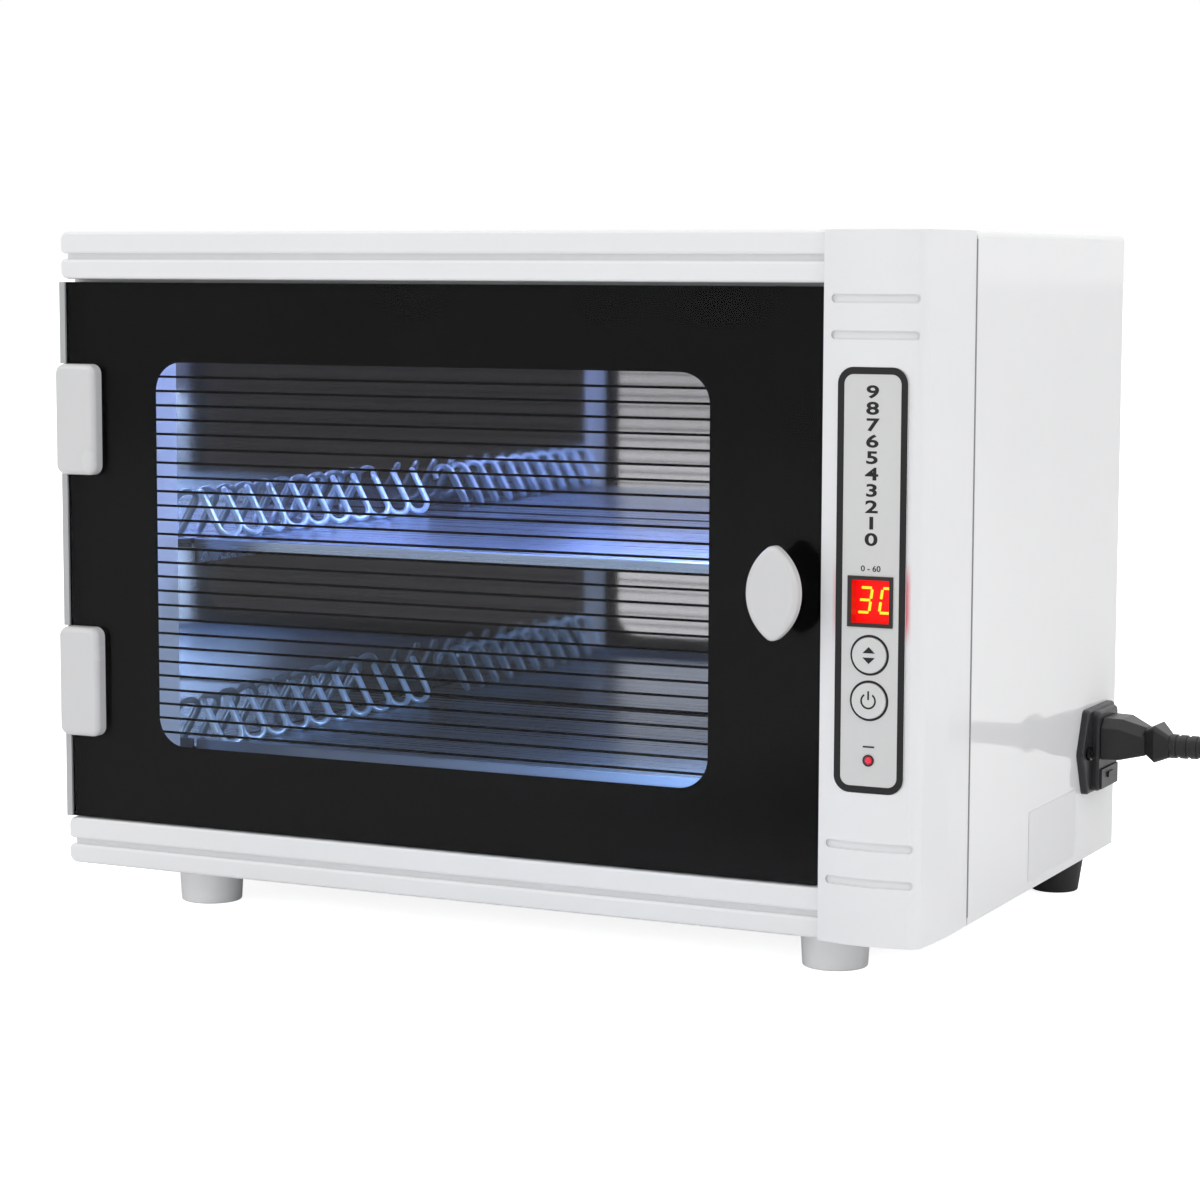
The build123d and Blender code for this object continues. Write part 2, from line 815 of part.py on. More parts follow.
def knob_hole():
    return rod((knob_u, -1, knob_w), (knob_u, print_back + 1, knob_w), knob_screw_radius + knob_hole_gap)


def make_knob_screw():
    place = lambda v: (knob_u, v, knob_w)
    shank = rod(place(print_back), place(knob_pilot_end - knob_reach + 1), knob_screw_radius)
    head = rod(place(print_back + knob_screw_head), place(print_back), 2 * knob_screw_radius)
    return head + shank


def make_strike():
    plate = Rectangle(catch_width, catch_height)
    return facing_front(plate, catch_u, catch_w, print_back + strike_thick, print_back)


def make_catch():
    """The magnet in its shell, through the frame's front wall."""
    front = print_back + strike_thick + catch_gap
    shell = facing_front(Rectangle(catch_width, catch_height), catch_u, catch_w, front + catch_depth, front)
    ears_v = (frame_front, frame_front - catch_ear)
    ears = Rectangle(catch_width + 2 * catch_ear_reach[0], catch_height + 2 * catch_ear_reach[1])
    flange = facing_front(ears, catch_u, catch_w, *ears_v)
    return shell + flange


def make_plunger():
    place = lambda v: (plunger_u, v, plunger_w)
    back = frame_front + wall + plunger_back
    stem = rod(place(back), place(print_back + catch_gap), plunger_radius)
    stem = soft_edges(stem, plunger_tip_radius, front_edges)
    collar_v = frame_front + wall + slide_gap
    return stem + rod(place(collar_v + collar_thick), place(collar_v), plunger_radius + collar_reach)


def make_door_switch():
    """The switch that cuts the lamp when the door opens, behind the frame's wall."""
    place = lambda v: (plunger_u, v, plunger_w)
    width, depth, height = switch_box
    front = frame_front + wall
    half_w, half_h = width / 2, height / 2
    across, up = (plunger_u - half_w, plunger_u + half_w), (plunger_w - half_h, plunger_w + half_h)
    body = block(across, (front, front + depth), up)
    room_end = front + 3 * slide_gap + collar_thick + plunger_travel
    room = rod(place(front - 1), place(room_end), plunger_radius + collar_reach + slide_gap)
    guide = rod(place(front), place(front + depth - switch_guide_end), plunger_radius + plunger_gap)
    return body - room - guide


# Chamber, trays and racks
def make_liner():
    u, w = (chamber_left, chamber_right), (chamber_low, chamber_high)
    outer_u, outer_w = (u[0] - sheet, u[1] + sheet), (w[0] - sheet, w[1] + sheet)
    outer = block(outer_u, (jamb_depth, chamber_back + sheet), outer_w)
    liner = outer - block(u, (jamb_depth - 1, chamber_back), w)
    flange_u = (u[0] - sheet - liner_flange, u[1] + sheet + liner_flange)
    flange_w = (w[0] - sheet - liner_flange, w[1] + sheet + liner_flange)
    flange = block(flange_u, (jamb_depth, jamb_depth + sheet), flange_w)
    flange -= block(u, (jamb_depth - 1, jamb_depth + 2), (chamber_low, opening_high))
    return liner + flange


def make_ledge(side_u, inward):
    """An angle on a side wall that the upper tray slides on."""
    top = shelf_top - tray_sheet - slide_gap
    v = (tray_front + tray_sheet + ledge_setback, tray_back)
    across = sorted((side_u, side_u + inward * ledge_width))
    upright = sorted((side_u, side_u + inward * tray_sheet))
    return block(across, v, (top - tray_sheet, top)) + block(upright, v, (top - ledge_height, top))


def make_upper_tray():
    """A flat tray with a lip turned down at its front."""
    u = (chamber_left + tray_gap, chamber_right - tray_gap)
    tray = block(u, (tray_front, tray_back), (shelf_top - tray_sheet, shelf_top))
    lip = block(u, (tray_front, tray_front + tray_sheet), (shelf_top - shelf_lip, shelf_top))
    edges = lambda s: s.edges().filter_by(Axis.X).group_by(Axis.Z)[-1].sort_by(Axis.Y)[:1]
    return soft_edges(tray + lip, tray_edge_radius, edges)


def make_lower_tray():
    """A tray on short turned-down sides, with a lip turned up at its front."""
    u = (chamber_left + tray_gap, chamber_right - tray_gap)
    low = chamber_low + slide_gap
    tray = block(u, (tray_front, tray_back), (low, tray_top))
    tray -= block(
        (u[0] + tray_sheet, u[1] - tray_sheet), (tray_front + tray_sheet, tray_back + 1),
        (low - 1, tray_top - tray_sheet),
    )
    lip = block(u, (tray_front, tray_front + tray_sheet), (low, tray_top + tray_lip))
    return tray + lip


def arc_by_corner(start, corner, end):
    """The arc from start to end that is tangent to both runs to the corner."""
    middle = (start + end) * 0.5
    half = (end - start).length / 2
    rise = (corner - middle).length
    run = (corner - start).length
    radius = run * half / rise
    sag = radius - sqrt(max(radius**2 - half**2, 0.0))
    return ThreePointArc(start, middle + (corner - middle).normalized() * sag, end)


def biarc(start, leave, end, arrive):
    """Two arcs from one point and direction to another, smooth where they meet."""
    gap = end - start
    both = leave + arrive
    a = 2 * (1 - leave.dot(arrive))
    b = 2 * gap.dot(both)
    c = -gap.dot(gap)
    run = (-b + sqrt(b * b - 4 * a * c)) / (2 * a)
    first, second = start + leave * run, end - arrive * run
    middle = (first + second) * 0.5
    return [arc_by_corner(start, first, middle), arc_by_corner(middle, second, end)]


def swept(lines, radius):
    """A round wire along lines that meet smoothly."""
    path = Wire([edge for line in lines for edge in line.edges()])
    return sweep(Plane(origin=path @ 0, z_dir=path % 0) * Circle(radius), path=path)


def least_gap(points, thickness, apart):
    """The least space between stretches of a wire that are some way apart along it."""
    best = 1e9
    for i, first in enumerate(points):
        for second in points[i + apart:]:
            best = min(best, (first - second).length)
    return best - thickness


def make_rack(floor_w):
    """A flattened wire coil that leans on the left wall and holds tools upright.

    Its straight strands lie across the coil's axis, so only the end arcs carry it on.
    """
    lean = radians(rack_lean)
    along = Vector(-sin(lean), 0, cos(lean))
    through = Vector(-cos(lean), 0, -sin(lean)) * (rack_thickness / 2)
    step = Vector(0, rack_pitch / 4, 0)
    radius = hypot(rack_thickness / 2, rack_pitch / 4)
    wire = rack_wire / 2
    drop = hypot(radius * along.Z, through.Z) + wire
    side = hypot(radius * along.X, through.X) + wire
    top = at(chamber_left + rack_gap + side, rack_start, floor_w + drop + rack_straight * along.Z)
    low = top - along * rack_straight
    lines, points = [], []
    for turn in range(rack_turns):
        near = Vector(0, rack_pitch * turn, 0) - through - step
        far = near + (through + step) * 2
        lines.append(Line(low + near, top + near))
        lines.append(ThreePointArc(top + near, top + (near + far) * 0.5 + along * radius, top + far))
        if turn == rack_turns - 1:
            break
        lines.append(Line(top + far, low + far))
        after = far + step * 2 - through * 2
        lines.append(ThreePointArc(low + far, low + (far + after) * 0.5 - along * radius, low + after))
    for line in lines:
        points += [line @ (k / 6) for k in range(6)]
    print("rack wire least gap", round(least_gap(points, rack_wire, 9), 2))
    front = at(chamber_left + rack_gap, rack_start, 0)
    rack = swept(lines, wire)
    return rack.rotate(Axis((front.X, front.Y, 0), (0, 0, 1)), -rack_skew)


# Lamp
def tube_ends():
    middle = (chamber_left + chamber_right) / 2
    return middle - tube_length / 2, middle + tube_length / 2


def make_tube():
    left, right = tube_ends()
    place = lambda u: (u, tube_v, tube_w)
    tube = rod(place(left + tube_cap), place(right - tube_cap), tube_radius - tube_cap_step)
    for end, way in ((left, 1), (right, -1)):
        tube += rod(place(end), place(end + way * tube_cap), tube_radius)
        for side in (-1, 1):
            v = tube_v + side * tube_pin_offset
            tube += rod((end + way, v, tube_w), (end - way * tube_pin_length, v, tube_w), tube_pin_radius)
    return tube


def make_holder(end, way):
    """A lamp holder: pins drop in by a slot and lock when the lamp turns."""
    face = end - way * holder_gap
    u = sorted((face, face - way * holder_thick))
    half = holder_depth / 2
    body = block(u, (tube_v - half, tube_v + half), (chamber_high - holder_drop, chamber_high))
    deep = end - way * (tube_pin_length + holder_pin_room)
    body -= rod((face + way, tube_v, tube_w), (deep, tube_v, tube_w), holder_bore_radius)
    slot_u = sorted((face + way, deep))
    slot_v = (tube_v - holder_slot / 2, tube_v + holder_slot / 2)
    return body - block(slot_u, slot_v, (chamber_high - holder_drop - 1, tube_w))


def make_reflector():
    half, wing = reflector_width / 2, reflector_wing
    middle = (chamber_left + chamber_right) / 2
    wing_v = wing * cos(radians(reflector_angle))
    wing_w = wing * sin(radians(reflector_angle))
    thin = reflector_sheet
    inside = half - thin * tan(radians(reflector_angle / 2))
    outline = [
        (-half, 0), (half, 0), (half + wing_v, -wing_w), (half + wing_v - 1.2 * thin, -wing_w),
        (inside, -thin), (-inside, -thin), (-half - wing_v + 1.2 * thin, -wing_w), (-half - wing_v, -wing_w),
    ]
    u = (middle - reflector_length / 2, middle + reflector_length / 2)
    return facing_right(Polygon(*outline, align=None), tube_v, chamber_high, *u)


def make_ballast():
    u = (chamber_right + sheet, chamber_right + sheet + ballast_width)
    v, w = (ballast_v, ballast_v + ballast_depth), (ballast_w, ballast_w + ballast_height)
    outer_edges = lambda s: s.edges().filter_by(Axis.Y).group_by(Axis.X)[-1]
    ballast = soft_edges(block(u, v, w), ballast_radius, outer_edges)
    thin, reach = ballast_foot
    for end_v in ((v[0] - reach, v[0]), (v[1], v[1] + reach)):
        ballast += block((u[0], u[0] + thin), end_v, w)
    return ballast


# Inlet and fuse drawer
def make_inlet():
    half_h = inlet_flange_height / 2
    ears = [
        (-inlet_half_ears, 0), (-inlet_half_flat, half_h), (inlet_half_flat, half_h),
        (inlet_half_ears, 0), (inlet_half_flat, -half_h), (-inlet_half_flat, -half_h),
    ]
    outline = fillet(Polygon(*ears, align=None).vertices(), inlet_ear_radius)
    outer_face = lambda s: s.faces().sort_by(Axis.X)[-1].edges()
    flange = facing_right(outline, inlet_v, inlet_w, 0, inlet_flange)
    flange = soft_edges(flange, inlet_flange_edge, outer_face)
    frame = RectangleRounded(bezel_width, bezel_height, bezel_radius)
    bezel = facing_right(frame, inlet_v, inlet_w, inlet_flange, inlet_proud)
    bezel = soft_edges(bezel, bezel_edge, outer_face)
    neck = RectangleRounded(bezel_width - 2 * neck_inset, bezel_height - 2 * neck_inset, neck_radius)
    inlet = flange + bezel + facing_right(neck, inlet_v, inlet_w, -inlet_depth, 0)
    socket_u = (inlet_proud - socket_depth, inlet_proud + 1)
    socket = socket_outline(socket_width, socket_height)
    inlet -= facing_right(socket, inlet_v, socket_w, *socket_u)
    for place in contact_places():
        inlet -= facing_right(Rectangle(*contact_size), *place, -inlet_depth - 1, socket_u[0] + 1)
    drawer = Rectangle(drawer_width + 2 * drawer_gap, drawer_height + 2 * drawer_gap)
    drawer_u = (inlet_proud - drawer_depth - drawer_gap, inlet_proud + 1)
    inlet -= facing_right(drawer, inlet_v, drawer_w, *drawer_u)
    for v in inlet_screw_places():
        inlet -= rod((-1, v, inlet_w), (inlet_proud, v, inlet_w), screw_radius + hole_gap)
    return inlet


def socket_outline(width, height):
    """The socket's shape: a box with its two upper corners cut."""
    x, y, cut = width / 2, height / 2, socket_corner
    corners = [(-x, -y), (x, -y), (x, y - cut), (x - cut, y), (-x + cut, y), (-x, y - cut)]
    return Polygon(*corners, align=None)


def contact_places():
    """The socket's three contacts, as places in v and w."""
    outer_w, middle_w = (socket_w + height for height in contact_heights)
    return [(inlet_v - contact_spacing, outer_w), (inlet_v, middle_w), (inlet_v + contact_spacing, outer_w)]


def make_contacts():
    start = inlet_proud - socket_depth
    solids = [
        facing_right(Rectangle(*contact_size), *place, -inlet_depth - contact_tab, start + contact_length)
        for place in contact_places()
    ]
    return Compound(children=solids)


def make_drawer():
    face_u = inlet_proud + drawer_lip
    drawer = facing_right(
        Rectangle(drawer_width, drawer_height), inlet_v, drawer_w, inlet_proud - drawer_depth, face_u
    )
    grip = RectangleRounded(*grip_size, grip_size[1] / 3)
    drawer += facing_right(grip, inlet_v, drawer_w + grip_height, face_u - 0.5, face_u + drawer_grip)
    return drawer - fuse_room()


def fuse_room():
    """The trough in the drawer that holds the fuse, open at the top."""
    half, reach = fuse_length / 2 + fuse_gap, fuse_radius + fuse_gap
    low, high = inlet_v - half, inlet_v + half
    trough = rod((fuse_u(), low, drawer_w), (fuse_u(), high, drawer_w), reach)
    above = block((fuse_u() - reach, fuse_u() + reach), (low, high), (drawer_w, drawer_w + drawer_height))
    return trough + above


def fuse_u():
    return inlet_proud - drawer_depth / 2


def make_fuse():
    half = fuse_length / 2
    place = lambda v: (fuse_u(), inlet_v + v, drawer_w)
    fuse = rod(place(-half), place(half), fuse_radius - fuse_cap_step)
    for side in (-1, 1):
        fuse += rod(place(side * half), place(side * (half - fuse_cap)), fuse_radius)
    return fuse


# Lead: connector, strain relief, free run, coil, tail and plug
def make_connector():
    nose_u = (inlet_proud - socket_depth + 1, inlet_proud + socket_gap)
    nose = socket_outline(socket_width - 2 * socket_gap, socket_height - 2 * socket_gap)
    body = facing_right(nose, inlet_v, socket_w, *nose_u)
    grip = lofted(nose_u[1], connector_end, connector_sections, connector_outline)
    slot = [side + 2 * contact_gap for side in contact_size]
    for place in contact_places():
        body -= facing_right(Rectangle(*slot), *place, nose_u[0] - 1, nose_u[1] + 1)
    collar_outline = lambda width, height: RectangleRounded(width, height, collar_radius)
    return body + grip + lofted(connector_end, collar_end, collar_sections, collar_outline)


def connector_outline(width, height):
    return fillet(socket_outline(width, height).vertices(), connector_edge)


def lofted(u_start, u_end, sections, outline):
    """A faceted stretch of the connector, from sections that are each a share of its length."""
    faces = []
    for share, width, height, shift in sections:
        origin = at(u_start + share * (u_end - u_start), inlet_v, socket_w + shift)
        plane = Plane(origin=origin, x_dir=(0, 1, 0), z_dir=(1, 0, 0))
        faces.append(plane * outline(width, height))
    return loft(faces, ruled=True)


def make_relief():
    """A tapered relief of ribs on a thinner core, round the cord's first stretch."""
    place = lambda u: (u, inlet_v, relief_w)
    length = relief_end - collar_end
    thin = cord_diameter / 2 + relief_wall
    relief = rod(place(collar_end), place(relief_end), thin + relief_taper, thin)
    pitch = length / (relief_ribs + 0.5)
    for rib in range(relief_ribs):
        start = collar_end + rib * pitch
        radius = thin + (relief_radius - thin) * (1 - rib_step * rib)
        relief += rod(place(start), place(start + pitch * rib_share), radius)
    return relief


def cord_centre_z():
    return cord_diameter / 2 + cord_floor


def coil_centre():
    return Vector(right_x + coil_start[0], front_y + coil_start[1] + coil_outer_radius, cord_centre_z())


def coil_state(turn):
    """The coil's radius and height above its first layer, and how fast each changes a turn."""
    each = coil_turns / coil_layers
    layer = min(int(turn / each), coil_layers - 1)
    done = turn - layer * each
    inward = layer % 2 == 0
    radius = coil_outer_radius - coil_pitch * (done if inward else each - done)
    nearest = round(turn / each)
    climbs = 0 < nearest < coil_layers
    share = (turn - nearest * each) / 0.5 + 0.5
    if climbs and 0 <= share <= 1:
        height = (nearest - 1 + 3 * share**2 - 2 * share**3) * coil_layer_height
        rise = 6 * share * (1 - share) / 0.5 * coil_layer_height
    else:
        height, rise = layer * coil_layer_height, 0.0
    drift = -coil_pitch if inward else coil_pitch
    return radius, height, drift, rise


def coil_point(turn):
    """A point of the coil's centreline and its direction there."""
    radius, height, drift, rise = coil_state(turn)
    angle = 2 * pi * turn - pi / 2
    out, on = Vector(cos(angle), sin(angle), 0), Vector(-sin(angle), cos(angle), 0)
    way = on * (2 * pi * radius) + out * drift + Vector(0, 0, rise)
    return coil_centre() + out * radius + Vector(0, 0, height), way.normalized()


def make_coil():
    quarters = [coil_point(k / 4) for k in range(round(coil_turns * 4) + 1)]
    lines = []
    for (start, leave), (end, arrive) in zip(quarters, quarters[1:]):
        lines += biarc(start, leave, end, arrive)
    points = [line @ (k / 5) for line in lines for k in range(5)]
    print("coil least gap", round(least_gap(points, cord_diameter, 24), 2))
    print("coil length", round(sum(line.length for line in lines), 1))
    return swept(lines, cord_diameter / 2)


def run_route():
    """The free cord from its relief to the coil, as the corners of its runs."""
    drop = relief_w + foot_height - cord_centre_z()
    bends = [at(relief_end + out, inlet_v + back, relief_w - share * drop) for out, back, share in run_bends]
    start, way = coil_point(0)
    return [at(relief_end, inlet_v, relief_w), *bends, start - way * coil_lead_in, start]


def tail_route():
    """The free cord from the coil's top layer to the plug beside it."""
    start, way = coil_point(coil_turns)
    end = plug_entry()
    return [start, start + way * tail_lead_out, end + Vector(0, plug_lead_in, 0), end]


def plug_entry():
    """Where the cord goes into the plug's grip."""
    start, _ = coil_point(coil_turns)
    return Vector(start.X, start.Y - plug_before_coil, plug_radius + cord_floor)


def make_tube_run(name, points):
    """A plain tube along straight runs joined by arcs as large as the runs allow."""
    runs = [(b - a) for a, b in zip(points, points[1:])]
    radii = []
    for before, after in zip(runs, runs[1:]):
        turn = radians(before.get_angle(after))
        radii.append(0.45 * min(before.length, after.length) / tan(turn / 2))
    path = FilletPolyline(*points, radius=radii)
    wire = Wire(path.edges())
    tube = sweep(Plane(origin=wire @ 0, z_dir=wire % 0) * Circle(cord_diameter / 2), path=wire)
    share = tube.volume / (pi * cord_diameter**2 / 4 * wire.length)
    print(name, "radii", [round(r) for r in radii], "length", round(wire.length, 1), "volume", round(share, 4))
    return tube


def make_plug():
    """A round two-pin plug lying on its side, its pins to the front."""
    entry = plug_entry()
    plane = Plane(origin=entry, x_dir=(1, 0, 0), z_dir=(0, -1, 0))
    along = lambda x: plane.offset(x)
    align = (Align.CENTER, Align.CENTER, Align.MIN)
    narrow, wide = cord_diameter / 2 + plug_grip_wall, plug_radius * plug_grip_share
    grip = plane * Cone(narrow, wide, plug_grip, align=align)
    collar = along(plug_grip) * Cylinder(plug_radius, plug_body, align=align)
    collar = soft_edges(collar, plug_edge, lambda s: s.edges().group_by(Axis.Y)[-1])
    plug = grip + collar
    for side in (-1, 1):
        start = along(plug_grip + plug_body - 1) * Pos(side * plug_pin_spacing / 2, 0, 0)
        plug += start * Cylinder(plug_pin_radius, plug_pin_length + 1, align=align)
    return plug


# Feet and screws
def foot_places():
    """The four feet as u, v and the node's name, the two front ones first."""
    return [
        (left_u + front_foot_left_inset, front_foot_v, "front_left_foot"),
        (-front_foot_right_inset, front_foot_v, "front_right_foot"),
        (left_u + rear_foot_inset, rear_foot_v, "rear_left_foot"),
        (-rear_foot_inset, rear_foot_v, "rear_right_foot"),
    ]


def make_foot(u, v, radii):
    foot = rod((u, v, 0), (u, v, -foot_height), *radii)
    foot = soft_edges(foot, foot_edge, lambda s: s.faces().sort_by(Axis.Z)[0].edges())
    foot -= rod((u, v, 1), (u, v, -foot_height - 1), foot_screw_radius + hole_gap)
    bore = (u, v, -foot_height - 1), (u, v, foot_bore_depth - foot_height)
    return foot - rod(*bore, foot_head_radius + foot_head_gap)


def make_foot_screws():
    screws = []
    for u, v, _ in foot_places():
        seat = foot_bore_depth - foot_height
        head = rod((u, v, seat - foot_head), (u, v, seat), foot_head_radius)
        screws.append(head + rod((u, v, seat - 1), (u, v, wall + foot_screw_end), foot_screw_radius))
    return Compound(children=screws)


def make_cabinet_screws():
    """The rear panel's six screws and the inlet's two."""
    screws = []
    for u, w in rear_screw_places():
        face = body_depth - sheet if w < pan_height else body_depth
        head = rod((u, face + screw_head, w), (u, face, w), screw_head_radius)
        shank = rod((u, face + 0.5, w), (u, body_depth - screw_length, w), screw_radius)
        screws.append(head + shank)
    for v in inlet_screw_places():
        head = rod((inlet_flange, v, inlet_w), (inlet_flange + screw_head, v, inlet_w), screw_head_radius)
        shank = rod((-inlet_screw_length, v, inlet_w), (inlet_flange + 0.5, v, inlet_w), screw_radius)
        screws.append(head + shank)
    return Compound(children=screws)


# Assembly of every node
keep("cabinet_cover", make_cover())
keep("rear_panel", make_rear_panel())
keep("base_pan", make_base_pan())
keep("front_frame", make_front_frame())
keep("top_rail", make_rail(
    body_height - rail_top_height, body_height, body_height - rail_top_groove_from_edge - rail_groove
))
keep("bottom_rail", make_rail(0, rail_low_height, rail_low_groove_from_edge))
keep("control_pod", make_pod())
keep("overlay_panel", make_overlay())
make_display()
for key, height in key_heights.items():
    keep(f"{key}_key", make_key(height))
    keep(f"{key}_switch", make_switch(height))
keep("power_lamp", make_power_lamp())
keep("control_board", make_board())

keep("door_glass", make_glass())
keep("glass_print", make_print())
keep("door_edge_strip", make_edge_strip())
for side, height in zip(("lower", "upper"), hinge_heights):
    keep(f"{side}_hinge_clamp", make_clamp(height))
    keep(f"{side}_hinge_bracket", make_bracket(height))
keep("hinge_pins", Compound(children=[rod(*hinge_pin_ends(w), pin_radius) for w in hinge_heights]))
keep("door_knob", make_knob())
keep("knob_screw", make_knob_screw())
keep("strike_plate", make_strike())
keep("magnet_catch", make_catch())
keep("door_switch", make_door_switch())
keep("door_plunger", make_plunger())

keep("chamber_liner", make_liner())
keep("left_ledge", make_ledge(chamber_left, 1))
keep("right_ledge", make_ledge(chamber_right, -1))
keep("upper_tray", make_upper_tray())
keep("lower_tray", make_lower_tray())
keep("upper_rack", make_rack(shelf_top))
keep("lower_rack", make_rack(tray_top))

keep("uv_tube", make_tube())
keep("left_lamp_holder", make_holder(tube_ends()[0], 1))
keep("right_lamp_holder", make_holder(tube_ends()[1], -1))
keep("lamp_reflector", make_reflector())
keep("ballast", make_ballast())

keep("mains_inlet", make_inlet())
keep("inlet_contacts", make_contacts())
keep("fuse_drawer", make_drawer())
keep("fuse", make_fuse())

keep("mains_connector", make_connector())
keep("strain_relief", make_relief())
keep("cord_run", make_tube_run("cord run", run_route()))
keep("cord_coil", make_coil())
keep("cord_tail", make_tube_run("cord tail", tail_route()))
keep("mains_plug", make_plug())

for index, (foot_u, foot_v, foot_name) in enumerate(foot_places()):
    keep(foot_name, make_foot(foot_u, foot_v, front_foot_radius if index < 2 else rear_foot_radius))
keep("foot_screws", make_foot_screws())
keep("cabinet_screws", make_cabinet_screws())

os.makedirs("parts", exist_ok=True)
for node, shape in parts.items():
    export_step(shape, f"parts/{node}.step")
print(len(parts), "nodes")
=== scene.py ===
"""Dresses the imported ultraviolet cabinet: its finishes, printed marks, lead, lit chamber, floor and light.

Places inside the cabinet are (u, v, w) in millimetres, as in the part's source: u to the right from the
right side face, v to the back from the door's front face and w up from the cabinet's underside.
"""

import logging
from dataclasses import dataclass, field
from enum import Enum
from math import cos, pi, radians, sin
from typing import Any, ClassVar, Optional, Sequence, Union

import bmesh
import bpy
from mathutils import Matrix, Vector


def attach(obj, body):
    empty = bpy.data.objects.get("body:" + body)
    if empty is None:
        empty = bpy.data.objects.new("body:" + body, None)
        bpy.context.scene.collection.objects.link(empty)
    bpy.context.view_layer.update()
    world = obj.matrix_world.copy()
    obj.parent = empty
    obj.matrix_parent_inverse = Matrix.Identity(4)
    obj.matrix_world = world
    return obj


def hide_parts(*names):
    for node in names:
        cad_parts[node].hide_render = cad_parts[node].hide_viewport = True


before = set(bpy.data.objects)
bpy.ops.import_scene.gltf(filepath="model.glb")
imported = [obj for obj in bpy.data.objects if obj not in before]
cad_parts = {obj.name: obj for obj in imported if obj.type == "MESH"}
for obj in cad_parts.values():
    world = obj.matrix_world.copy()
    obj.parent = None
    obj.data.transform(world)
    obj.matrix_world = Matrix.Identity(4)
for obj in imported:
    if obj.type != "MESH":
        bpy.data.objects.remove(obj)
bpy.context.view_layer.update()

log = logging.getLogger("cabinet")

RIGHT_X = 184.0
FRONT_Y = -110.45
FOOT_HEIGHT = 14.5
MILLIMETRE = 0.001

Pair = tuple[float, float]
Place = tuple[float, float, float]
Colour = tuple[float, float, float]
Outline = list[Pair]
Looks = dict[str, tuple[str, ...]]
Settings = dict[str, Any]
Sockets = bpy.types.bpy_prop_collection


def spot(u: float, v: float, w: float) -> Vector:
    """Turns a place in the cabinet into a point of the part's frame.

    Args:
        u: Millimetres to the right from the right side face.
        v: Millimetres to the back from the door's front face.
        w: Millimetres up from the cabinet's underside.

    Returns:
        The point in metres.
    """
    return Vector((RIGHT_X + u, FRONT_Y + v, FOOT_HEIGHT + w)) * MILLIMETRE


class Facing(Enum):
    """Which way a flat drawn piece looks."""

    FRONT = Matrix(((1, 0, 0), (0, 0, -1), (0, 1, 0)))
    RIGHT = Matrix(((0, 0, 1), (1, 0, 0), (0, 1, 0)))
    BACK = Matrix(((-1, 0, 0), (0, 0, 1), (0, 1, 0)))


class Graph:
    """Adds and joins nodes in one tree."""

    def __init__(self, tree: bpy.types.NodeTree) -> None:
        """Keeps the tree that nodes go into."""
        self.tree = tree

    @classmethod
    def fresh(cls, owner: Union[bpy.types.Material, bpy.types.World]) -> "Graph":
        """Empties the node tree of a material or world.

        Args:
            owner: The material or world.

        Returns:
            The graph of its tree.
        """
        owner.use_nodes = True
        owner.node_tree.nodes.clear()
        return cls(owner.node_tree)

    def feed(self, socket: bpy.types.NodeSocket, value: Any) -> None:
        """Joins an output socket to an input, or sets the input to a plain value.

        Args:
            socket: The input.
            value: An output socket, or a plain value.
        """
        if isinstance(value, bpy.types.NodeSocket):
            self.tree.links.new(value, socket)
        else:
            socket.default_value = value

    def add(
        self, kind: str, settings: Optional[Settings] = None, values: Sequence[Any] = (), **inputs: Any
    ) -> bpy.types.Node:
        """Adds a node and feeds its inputs.

        Args:
            kind: The node's type without its ShaderNode prefix.
            settings: Attributes to set on the node.
            values: Inputs in order, each a value or an output socket.
            inputs: Inputs by name, with an underscore for a space.

        Returns:
            The new node.
        """
        node = self.tree.nodes.new("ShaderNode" + kind)
        for name, value in (settings or {}).items():
            setattr(node, name, value)
        for socket, value in zip(node.inputs, values):
            self.feed(socket, value)
        for name, value in inputs.items():
            self.feed(node.inputs[name.replace("_", " ")], value)
        return node

    def group(self, tree: bpy.types.NodeTree, **inputs: Any) -> bpy.types.Node:
        """Adds a shared node group and feeds its inputs by name."""
        return self.add("Group", {"node_tree": tree}, **inputs)

    def math(self, operation: str, *values: Any, clamp: bool = False) -> bpy.types.NodeSocket:
        """Adds a Math node and returns its output."""
        settings = {"operation": operation, "use_clamp": clamp}
        return self.add("Math", settings, values).outputs[0]

    def product(self, first: Any, *others: Any) -> bpy.types.NodeSocket:
        """Multiplies two or more values.

        Args:
            first: A value or an output socket.
            others: What it is multiplied by, in turn.

        Returns:
            The product's socket.
        """
        for other in others:
            first = self.math("MULTIPLY", first, other)
        return first

    def ramp(
        self, value: Any, start: float, end: float, first: float = 0.0, last: float = 1.0,
        kind: str = "LINEAR",
    ) -> bpy.types.NodeSocket:
        """Returns first up to start, last from end on, and what lies between them in between."""
        values = (value, start, end, first, last)
        return self.add("MapRange", {"interpolation_type": kind}, values).outputs[0]

    def mix(self, factor: Any, first: Any, second: Any) -> bpy.types.NodeSocket:
        """Adds a colour Mix node, whose colour inputs come seventh and eighth.

        Args:
            factor: How much of the second colour shows.
            first: The first colour.
            second: The second colour.

        Returns:
            The mixed colour's socket.
        """
        node = self.add("Mix", {"data_type": "RGBA"})
        for index, value in ((0, factor), (6, first), (7, second)):
            self.feed(node.inputs[index], value)
        return node.outputs[2]

    def place(self) -> bpy.types.NodeSocket:
        """Returns the surface's place in the part's frame."""
        return self.add("TexCoord").outputs["Object"]

    def axes(self) -> bpy.types.Node:
        """Returns a node whose outputs are the place's X, Y and Z."""
        return self.add("SeparateXYZ", values=(self.place(),))


